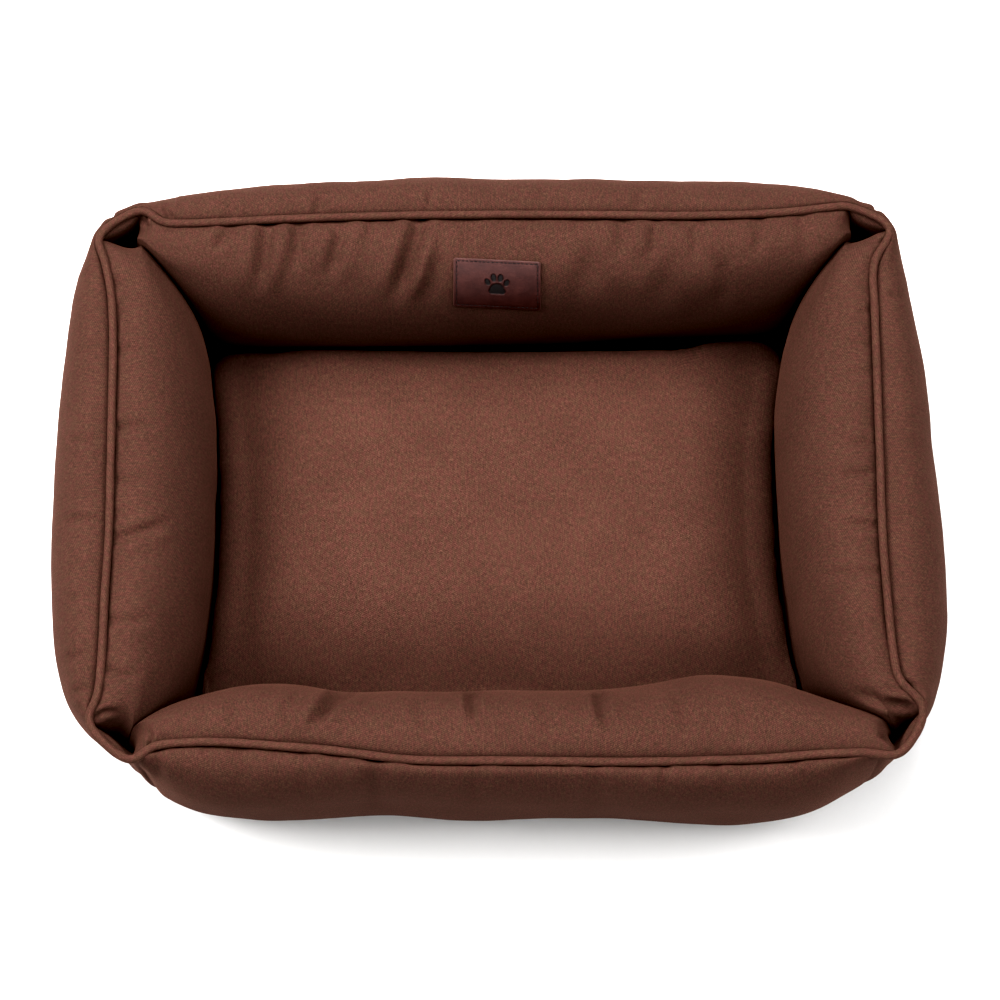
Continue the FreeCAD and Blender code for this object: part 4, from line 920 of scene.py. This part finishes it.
vs_, fs_ = [], []
for x, y, dx, dy in marks:
    ra = 0.30
    pts = []
    for t in np.linspace(-1, 1, 9):
        px_, py_ = x + dx * t * 1.2, y + dy * t * 1.2
        i_, j_ = int(round((px_ / LA + 0.5) * (NA - 1))), int(round((0.5 - py_ / LB) * (NB_ - 1)))
        nrm = tn[min(max(i_, 0), NA - 1), min(max(j_, 0), NB_ - 1)]
        pts.append(leather_point(px_, py_) + nrm * (LIFT + THICK - 0.22 + 0.34 * (1 - t * t)))
    pts = np.array(pts)
    d = np.gradient(pts, axis=0); d /= np.linalg.norm(d, axis=1, keepdims=True)
    s1 = np.cross(d, nrm); s1 /= np.linalg.norm(s1, axis=1, keepdims=True)
    s2 = np.cross(s1, d)
    aa = np.linspace(0, 2 * math.pi, 8, endpoint=False)
    base_i = len(vs_)
    for q in range(9):
        rq = ra * math.sqrt(max(0.12, 1 - (abs(q - 4) / 4.0) ** 4))
        for al in aa:
            vs_.append(pts[q] + rq * (math.cos(al) * s1[q] + math.sin(al) * s2[q]))
    for q in range(8):
        for k_ in range(8):
            fs_.append([base_i + q * 8 + k_, base_i + q * 8 + (k_ + 1) % 8, base_i + (q + 1) * 8 + (k_ + 1) % 8, base_i + (q + 1) * 8 + k_])
    fs_.append([base_i + k_ for k_ in range(8)][::-1]); fs_.append([base_i + 64 + k_ for k_ in range(8)])
vs_ = np.array(vs_)
o = mesh_of("patch_stitches", vs_, fs_, vs_[:, [0, 2]], mat=thread_mat())
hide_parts("tag_stitches")

# ------------------------------------------------------------------ pieces: corner gussets
PAIRS = {"BL": (("left", "hi"), ("back", "lo")), "BR": (("back", "hi"), ("right", "hi")),
         "FR": (("right", "lo"), ("front", "hi")), "FL": (("front", "lo"), ("left", "lo"))}
for tag, ((s0, e0), (s1, e1)) in PAIRS.items():
    L0, L1 = E_all[s0][e0], E_all[s1][e1]
    nrow = 40
    a, b = L0[:nrow], L1[:nrow]
    M = near_pipe(MIDS[tag])
    out = (M - np.array(WELL[tag])); out = out / np.linalg.norm(out)
    cols = []
    t = np.linspace(0, 1, 25)
    # the top row follows the piping between its two outermost points
    p0, p1 = a[0, :2], b[0, :2]
    i0 = ((pipe - p0) ** 2).sum(1).argmin(); i1 = ((pipe - p1) ** 2).sum(1).argmin()
    ii = np.arange(i0, i1 + 1) if i1 >= i0 else np.arange(i0, i1 + NR + 1)
    if len(ii) > NR // 2:
        ii = np.arange(i1, i0 + 1)[::-1] if i0 >= i1 else np.arange(i1, i0 + NR + 1)[::-1]
    top = even(pipe[ii % NR], 25)
    base_line = p0[None] + (p1 - p0)[None] * t[:, None]
    bow = top - base_line
    G = np.zeros((25, nrow, 3))
    for j in range(nrow):
        f = j / (nrow - 1)
        G[:, j] = a[j][None] * (1 - t[:, None]) + b[j][None] * t[:, None]
        G[:, j, :2] += bow * (1 - f) ** 1.5
        G[:, j, 2] += -3.5 * np.sin(np.pi * t) * f ** 0.7
        G[:, j, :2] -= out[None] * (6.0 * np.sin(np.pi * t) ** 0.7 * math.exp(-((f - 0.15) / 0.10) ** 2))[:, None]
        G[:, j, 2] += 1.6 * np.sin(np.pi * t) ** 0.7 * math.exp(-((f - 0.12) / 0.09) ** 2)
    n = grid_normals(G)
    flip = (n[12, 10, :2] @ -out) < 0
    o = mesh_of(f"corner_gusset_{tag}", G.reshape(-1, 3), grid_faces(25, nrow, flip=bool(flip)),
                grid_uv(G).reshape(-1, 2), mat=MAT_WALL_PAINTED_SHADE)

# ------------------------------------------------------------------ piece: piping
path = np.column_stack([pipe, seam_height(pipe) + 2.0])
kink = stroke_field(to_frame(path), [(668, 765), (690, 757), (714, 765)], 10)
path[:, 2] += 0.8 * kink
PR, PS = 3.05, 20
tang = np.roll(path, -1, 0) - np.roll(path, 1, 0)
tang /= np.linalg.norm(tang, axis=1, keepdims=True)
sidev = np.cross(tang, [0, 0, 1.0]); sidev /= np.linalg.norm(sidev, axis=1, keepdims=True)
upv = np.cross(sidev, tang)
a = np.linspace(0, 2 * math.pi, PS, endpoint=False)
plen = np.r_[0, np.cumsum(np.linalg.norm(np.diff(path, axis=0), axis=1))]
rad = PR * (1 + 0.035 * value_noise(plen / 9.0, plen * 0, 3) + 0.02 * value_noise(plen / 3.1, plen * 0 + 5, 4))
tube = path[:, None] + rad[:, None, None] * (np.cos(a)[None, :, None] * sidev[:, None] + np.sin(a)[None, :, None] * upv[:, None])
vi = tube.reshape(-1, 3)
i = np.arange(NR)[:, None]; j = np.arange(PS)[None]
faces = np.stack([i * PS + j, ((i + 1) % NR) * PS + j, ((i + 1) % NR) * PS + (j + 1) % PS, i * PS + (j + 1) % PS], -1).reshape(-1, 4)
uvp = np.stack(np.broadcast_arrays(plen[:, None], (a * PR)[None]), -1).reshape(-1, 2)
o = mesh_of("piping", vi, faces, uvp, mat=MAT_PIPE)
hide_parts("piping_sleeve", "piping_cord")

# ------------------------------------------------------------------ pieces: base
foot = outer[:, -1].copy()
radial = np.linspace(1, 0, 40)
for name, z, shrink, node in (("base_sheet", 0.35, 0.0, "base_underside"), ("base_lining_sheet", 2.2, 6.0, "base_lining")):
    ring = foot[:, :2] * (1 - shrink / 250)
    P = np.zeros((NS, 40, 3))
    for jj, t in enumerate(radial):
        P[:, jj, :2] = ring * t
        P[:, jj, 2] = z + (0.5 if name == "base_sheet" else 0.0) * (t > 0.995)
    P[..., 2] += 0.35 * np.abs(value_noise(P[..., 0] / 70, P[..., 1] / 70, 12))
    P = P[:, :-1]
    vs = np.vstack([P.reshape(-1, 3), [[0, 0, z]]])
    fs = [list(f) for f in grid_faces(NS, 39, wrap=True, flip=(name != "base_sheet"))]
    c = len(vs) - 1
    for q in range(NS):
        tri = [q * 39 + 38, ((q + 1) % NS) * 39 + 38, c]
        fs.append(tri if name == "base_sheet" else tri[::-1])
    o = mesh_of(name, vs, fs, vs[:, :2], mat=MAT_BASE if name == "base_sheet" else MAT_LINING)
    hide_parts(node)

# ------------------------------------------------------------------ pieces: cushion
def wall_line(side, at, more=0.0):
    """The inner swell of a wall, in row coordinates, at places along it."""
    w = WALLS[side]
    bel = spline(w["belly"], 400)
    n = np.interp(at, bel[:, 0], bel[:, 1]) - more
    return np.stack(w["map"](np.asarray(at, float), n), -1)


back_l = wall_line("back", np.linspace(-206, 210, 60), 1.0)
# the rear edge is straight where the zip is
zone = 1 - smooth(np.abs(back_l[:, 0]), 152, 178)
back_l[:, 1] = np.minimum(back_l[:, 1], 133.6 * zone + back_l[:, 1] * (1 - zone))
right_l = wall_line("right", np.linspace(146, -130, 40), 0.5)
front_l = wall_line("front", np.linspace(208, -206, 60), 0.5)
left_l = wall_line("left", np.linspace(-130, 134, 40), 0.5)
edge = np.vstack([back_l, [(221.5, 153.5)], right_l, [(219.5, -139)], front_l, [(-215, -140)], left_l, [(-219, 145.5)]])
edge = even(np.vstack([edge, edge[:1]]), 520, closed=True)
edge = blur_ring(edge, 14)
rear = smooth(edge[:, 1], 118, 131) * (1 - smooth(np.abs(edge[:, 0]), 150, 185))
swell = 5.5 + 9.5 * rear
en = np.roll(edge, 1, 0) - np.roll(edge, -1, 0)
en = np.stack([-en[:, 1], en[:, 0]], -1) / np.linalg.norm(en, axis=1, keepdims=True)
if (en[100] @ edge[100]) < 0:
    en = -en
cc = np.array([0.0, -3.0])
NRAD = 84
tt = 1 - (1 - np.linspace(0, 1, NRAD)) ** 1.9
ZS = 31.7
top_rows, bot_rows, flat_rows = [], [], []
# where the zip is, the two covers stop short of each other and its tapes show between them
zipz = smooth(edge[:, 1], 118, 131) * (1 - smooth(np.abs(edge[:, 0]), 147, 157))
corner_at = np.array([(-216.0, 146.0), (218.0, 150.0), (218.0, -136.0), (-214.0, -137.0)])
for t in tt:
    xy = cc + (edge - cc) * t
    d = np.linalg.norm(edge - xy, axis=1)  # from the edge, roughly
    el = np.clip(d / 22.0, 0, 1)
    roll = np.clip(1 - (1 - el) ** 3.2, 0, 1) ** 0.5
    open_z = 1 - zipz * (1 - smooth(roll * 28, 8, 23))
    push = en * (swell * roll * (1 - el) / 0.57 * open_z)[:, None]
    low_front = 35.0 * (1 - np.clip((xy[:, 1] + 140) / 92, 0, 1)) ** 2
    low_side = 22.0 * (1 - np.clip((214 - np.abs(xy[:, 0])) / 66, 0, 1)) ** 2
    near_c = np.min(np.linalg.norm(xy[:, None] - corner_at[None], axis=-1), axis=1)
    low_corner = 12.0 * (1 - np.clip(near_c / 100, 0, 1)) ** 2
    drop = np.sqrt(low_front ** 2 + low_side ** 2 + low_corner ** 2)
    drop = 40 * np.tanh(drop / 40)
    xy = xy - np.column_stack([zipz * 0, 2.0 * zipz * (1 - smooth(d, 0, 18))])
    inn = -18 * np.log(np.exp(-(214 - np.abs(xy[:, 0])) / 18) + np.exp(-(xy[:, 1] + 140) / 18) + np.exp(-(142 - xy[:, 1]) / 18))
    zt = ZS + 5.0 * zipz * (1 - roll) + roll * (28.0 + 11.0 * smooth(inn, -4, 88) - drop * (1 - 0.4 * smooth(xy[:, 1], 60, 135)) + 5.0 * smooth(xy[:, 1], 70, 128) * (1 - smooth(np.abs(xy[:, 0]), 120, 200)))
    zb = ZS - 5.0 * zipz * (1 - roll) - roll * 28.4
    top_rows.append(np.column_stack([xy + push, zt])); bot_rows.append(np.column_stack([xy + push * 0.6, zb]))
    flat_rows.append(xy)
topg = np.stack(top_rows[::-1], 1)  # edge -> centre
botg = np.stack(bot_rows[::-1], 1)
nz = grid_normals(topg, wrap=True)
if nz[0, 20, 2] < 0:
    nz = -nz
slow = value_noise(topg[..., 0] / 78 + 2, topg[..., 1] / 66 + 7, 22) * 1.6 + value_noise(topg[..., 0] / 33 + 2, topg[..., 1] / 30 + 7, 23) * 0.5
dist_e = np.linalg.norm(topg - topg[:, :1], axis=-1)
elen = np.r_[0, np.cumsum(np.linalg.norm(np.diff(edge, axis=0), axis=1))]
pk = value_noise(elen[:, None] / 9.0 + dist_e * 0, dist_e / 60, 24) * np.exp(-dist_e / 14) * smooth(dist_e, 0, 4) * 1.3
topg[..., 2] += (slow * smooth(dist_e, 4, 50))
topg += nz * pk[..., None]
flatg = np.stack(flat_rows[::-1], 1)


def cloth_flat(G):
    """Where each point lies in the flat cloth: its plan place, moved outward by the length the roll takes up."""
    deep = np.cumsum(np.linalg.norm(np.diff(G[:, ::-1], axis=1), axis=-1), axis=1)
    plan = np.cumsum(np.linalg.norm(np.diff(flatg[:, ::-1], axis=1), axis=-1), axis=1)
    more = np.concatenate([np.zeros((len(G), 1)), deep - plan], 1)[:, ::-1]
    return flatg + en[:, None] * more[..., None]


for name, G, node, up in (("cushion_top", topg, "cushion_cover_top", True), ("cushion_bottom", botg, "cushion_cover_bottom", False)):
    ni, nj = G.shape[:2]
    UVc = cloth_flat(G)
    UVc = np.vstack([UVc[:, :-1].reshape(-1, 2), UVc[:, -1].mean(0)])
    V_ = G[:, :-1].reshape(-1, 3)
    cen = G[:, -1].mean(0)
    V_ = np.vstack([V_, cen])
    fs = [list(f) for f in grid_faces(ni, nj - 1, wrap=True)]
    c = len(V_) - 1
    for q in range(ni):
        fs.append([q * (nj - 1) + nj - 2, ((q + 1) % ni) * (nj - 1) + nj - 2, c])
    v0, v1, v2 = V_[fs[500][0]], V_[fs[500][1]], V_[fs[500][2]]
    nn = np.cross(v1 - v0, v2 - v0)
    if (nn[2] > 0) != up:
        fs = [f[::-1] for f in fs]
    o = mesh_of(name, V_, fs, UVc, body="cushion", mat=MAT_CLOTH)
    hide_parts(node, *(["cushion_filling"] if up else []))

# the rolled seam round the cushion's edge, left out where the zip is
w_path = np.column_stack([edge, np.full(len(edge), ZS)])
keep_w = ~((edge[:, 1] > 120) & (np.abs(edge[:, 0]) < 156))
first = int(np.where(keep_w & ~np.roll(keep_w, 1))[0][0])
w_path = np.roll(w_path, -first, 0)[: int(keep_w.sum())]
w_path = spline(w_path[::3], 900)
wt = np.gradient(w_path, axis=0); wt /= np.linalg.norm(wt, axis=1, keepdims=True)
ws = np.cross(wt, [0, 0, 1.0]); ws /= np.linalg.norm(ws, axis=1, keepdims=True)
wl = np.r_[0, np.cumsum(np.linalg.norm(np.diff(w_path, axis=0), axis=1))]
wa = np.linspace(0, 2 * math.pi, 12, endpoint=False)
wr = 1.5 * (1 + 0.08 * value_noise(wl / 6.0, wl * 0, 41)) * np.minimum(1, np.sqrt(np.minimum(wl, wl[-1] - wl) / 4.0 + 0.05))
W3 = w_path[:, None] + wr[:, None, None] * (np.cos(wa)[None, :, None] * ws[:, None] * 1.25 + np.sin(wa)[None, :, None] * np.array([0, 0, 0.8]))
nw = len(w_path)
fw_ = [[i_ * 12 + j_, (i_ + 1) * 12 + j_, (i_ + 1) * 12 + (j_ + 1) % 12, i_ * 12 + (j_ + 1) % 12] for i_ in range(nw - 1) for j_ in range(12)]
fw_ += [[j_ for j_ in range(12)], [(nw - 1) * 12 + j_ for j_ in range(12)][::-1]]
q0, q1, q2 = (W3.reshape(-1, 3)[k_] for k_ in fw_[0][:3])
if np.cross(q1 - q0, q2 - q0) @ (q0 - w_path[0]) < 0:
    fw_ = [f[::-1] for f in fw_]
uvw = np.stack(np.broadcast_arrays(wl[:, None], (wa * 1.5)[None]), -1).reshape(-1, 2)
o = mesh_of("cushion_edge_seam", W3.reshape(-1, 3), fw_, uvw, body="cushion", mat=MAT_PIPE)

# CAD nodes that stay: the zip
for node, mat in (("zip_tape_upper", MAT_TAPE), ("zip_tape_lower", MAT_TAPE), ("zip_stops", MAT_METAL), ("zip_slider", MAT_METAL), ("zip_pull", MAT_METAL)):
    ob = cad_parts[node]
    ob.data.materials.clear()
    ob.data.materials.append(mat)

# ------------------------------------------------------------------ stage and light
floor_mat, nt, b = new_mat("floor_white")
b.inputs["Base Color"].default_value = (0.48, 0.48, 0.48, 1)
b.inputs["Roughness"].default_value = 0.9
# far from the bed, past the reach of the lamps, the floor keeps the same white
geo_ = nt.nodes.new("ShaderNodeTexCoord")
far_ = nt.nodes.new("ShaderNodeVectorMath"); far_.operation = "LENGTH"
nt.links.new(geo_.outputs["Object"], far_.inputs[0])
reach = nt.nodes.new("ShaderNodeMapRange"); reach.interpolation_type = "SMOOTHSTEP"
reach.inputs["From Min"].default_value = 0.9
reach.inputs["From Max"].default_value = 1.7
nt.links.new(far_.outputs["Value"], reach.inputs["Value"])
lp_ = nt.nodes.new("ShaderNodeLightPath")
glow = math_node(nt, "MULTIPLY", reach.outputs[0], lp_.outputs["Is Camera Ray"])
b.inputs["Emission Color"].default_value = (1, 1, 1, 1)
nt.links.new(math_node(nt, "MULTIPLY", glow, 1.2), b.inputs["Emission Strength"])
bpy.ops.mesh.primitive_plane_add(size=12, location=(0, 0, -0.0005))
floor = bpy.context.object
floor.name = "floor"
floor.data.materials.append(floor_mat)


def area(name, loc, size, power, target=(0, 0, 0.05), color=(1, 1, 1)):
    l = bpy.data.lights.new(name, "AREA")
    l.shape = "RECTANGLE"; l.size, l.size_y = size
    l.energy = power; l.color = color
    o = bpy.data.objects.new(name, l)
    bpy.context.scene.collection.objects.link(o)
    o.location = loc
    o.rotation_euler = (Vector(target) - Vector(loc)).to_track_quat("-Z", "Y").to_euler()
    return o


area("left", (-1.75, 0.15, 1.75), (1.3, 1.3), 101)
area("right", (1.75, 0.0, 1.75), (1.3, 1.3), 51)
area("front", (0.0, -1.75, 1.75), (1.4, 1.4), 28)
area("front_low", (0.0, -2.3, 0.5), (1.6, 0.6), 19)
area("left_low", (-2.3, 0.0, 0.45), (1.6, 0.6), 13)
area("right_low", (2.3, 0.0, 0.45), (1.6, 0.6), 15)
area("rear_low", (0.0, 2.3, 0.45), (1.6, 0.6), 15)
area("front_high", (0.0, -1.2, 2.2), (1.2, 1.2), 26)
area("rear_high", (-0.1, 1.2, 2.2), (1.2, 1.2), 97)
area("over", (0.0, 0.0, 2.5), (2.0, 2.0), 57)
world = bpy.data.worlds.new("studio")
bpy.context.scene.world = world
world.use_nodes = True
bg = world.node_tree.nodes["Background"]
bg.inputs[0].default_value = (1, 1, 1, 1)
# a white studio wall far behind the floor, which adds next to no light of its own
wl_ = world.node_tree
seen_ = wl_.nodes.new("ShaderNodeLightPath")
lvl = wl_.nodes.new("ShaderNodeMapRange")
lvl.inputs["To Min"].default_value = 0.055
lvl.inputs["To Max"].default_value = 1.2
wl_.links.new(seen_.outputs["Is Camera Ray"], lvl.inputs["Value"])
wl_.links.new(lvl.outputs[0], bg.inputs[1])
view = bpy.context.scene.view_settings
view.view_transform = "Standard"
view.gamma = 0.58
view.use_curve_mapping = True
view.curve_mapping.black_level = (0.045, 0.045, 0.045)
view.curve_mapping.update()
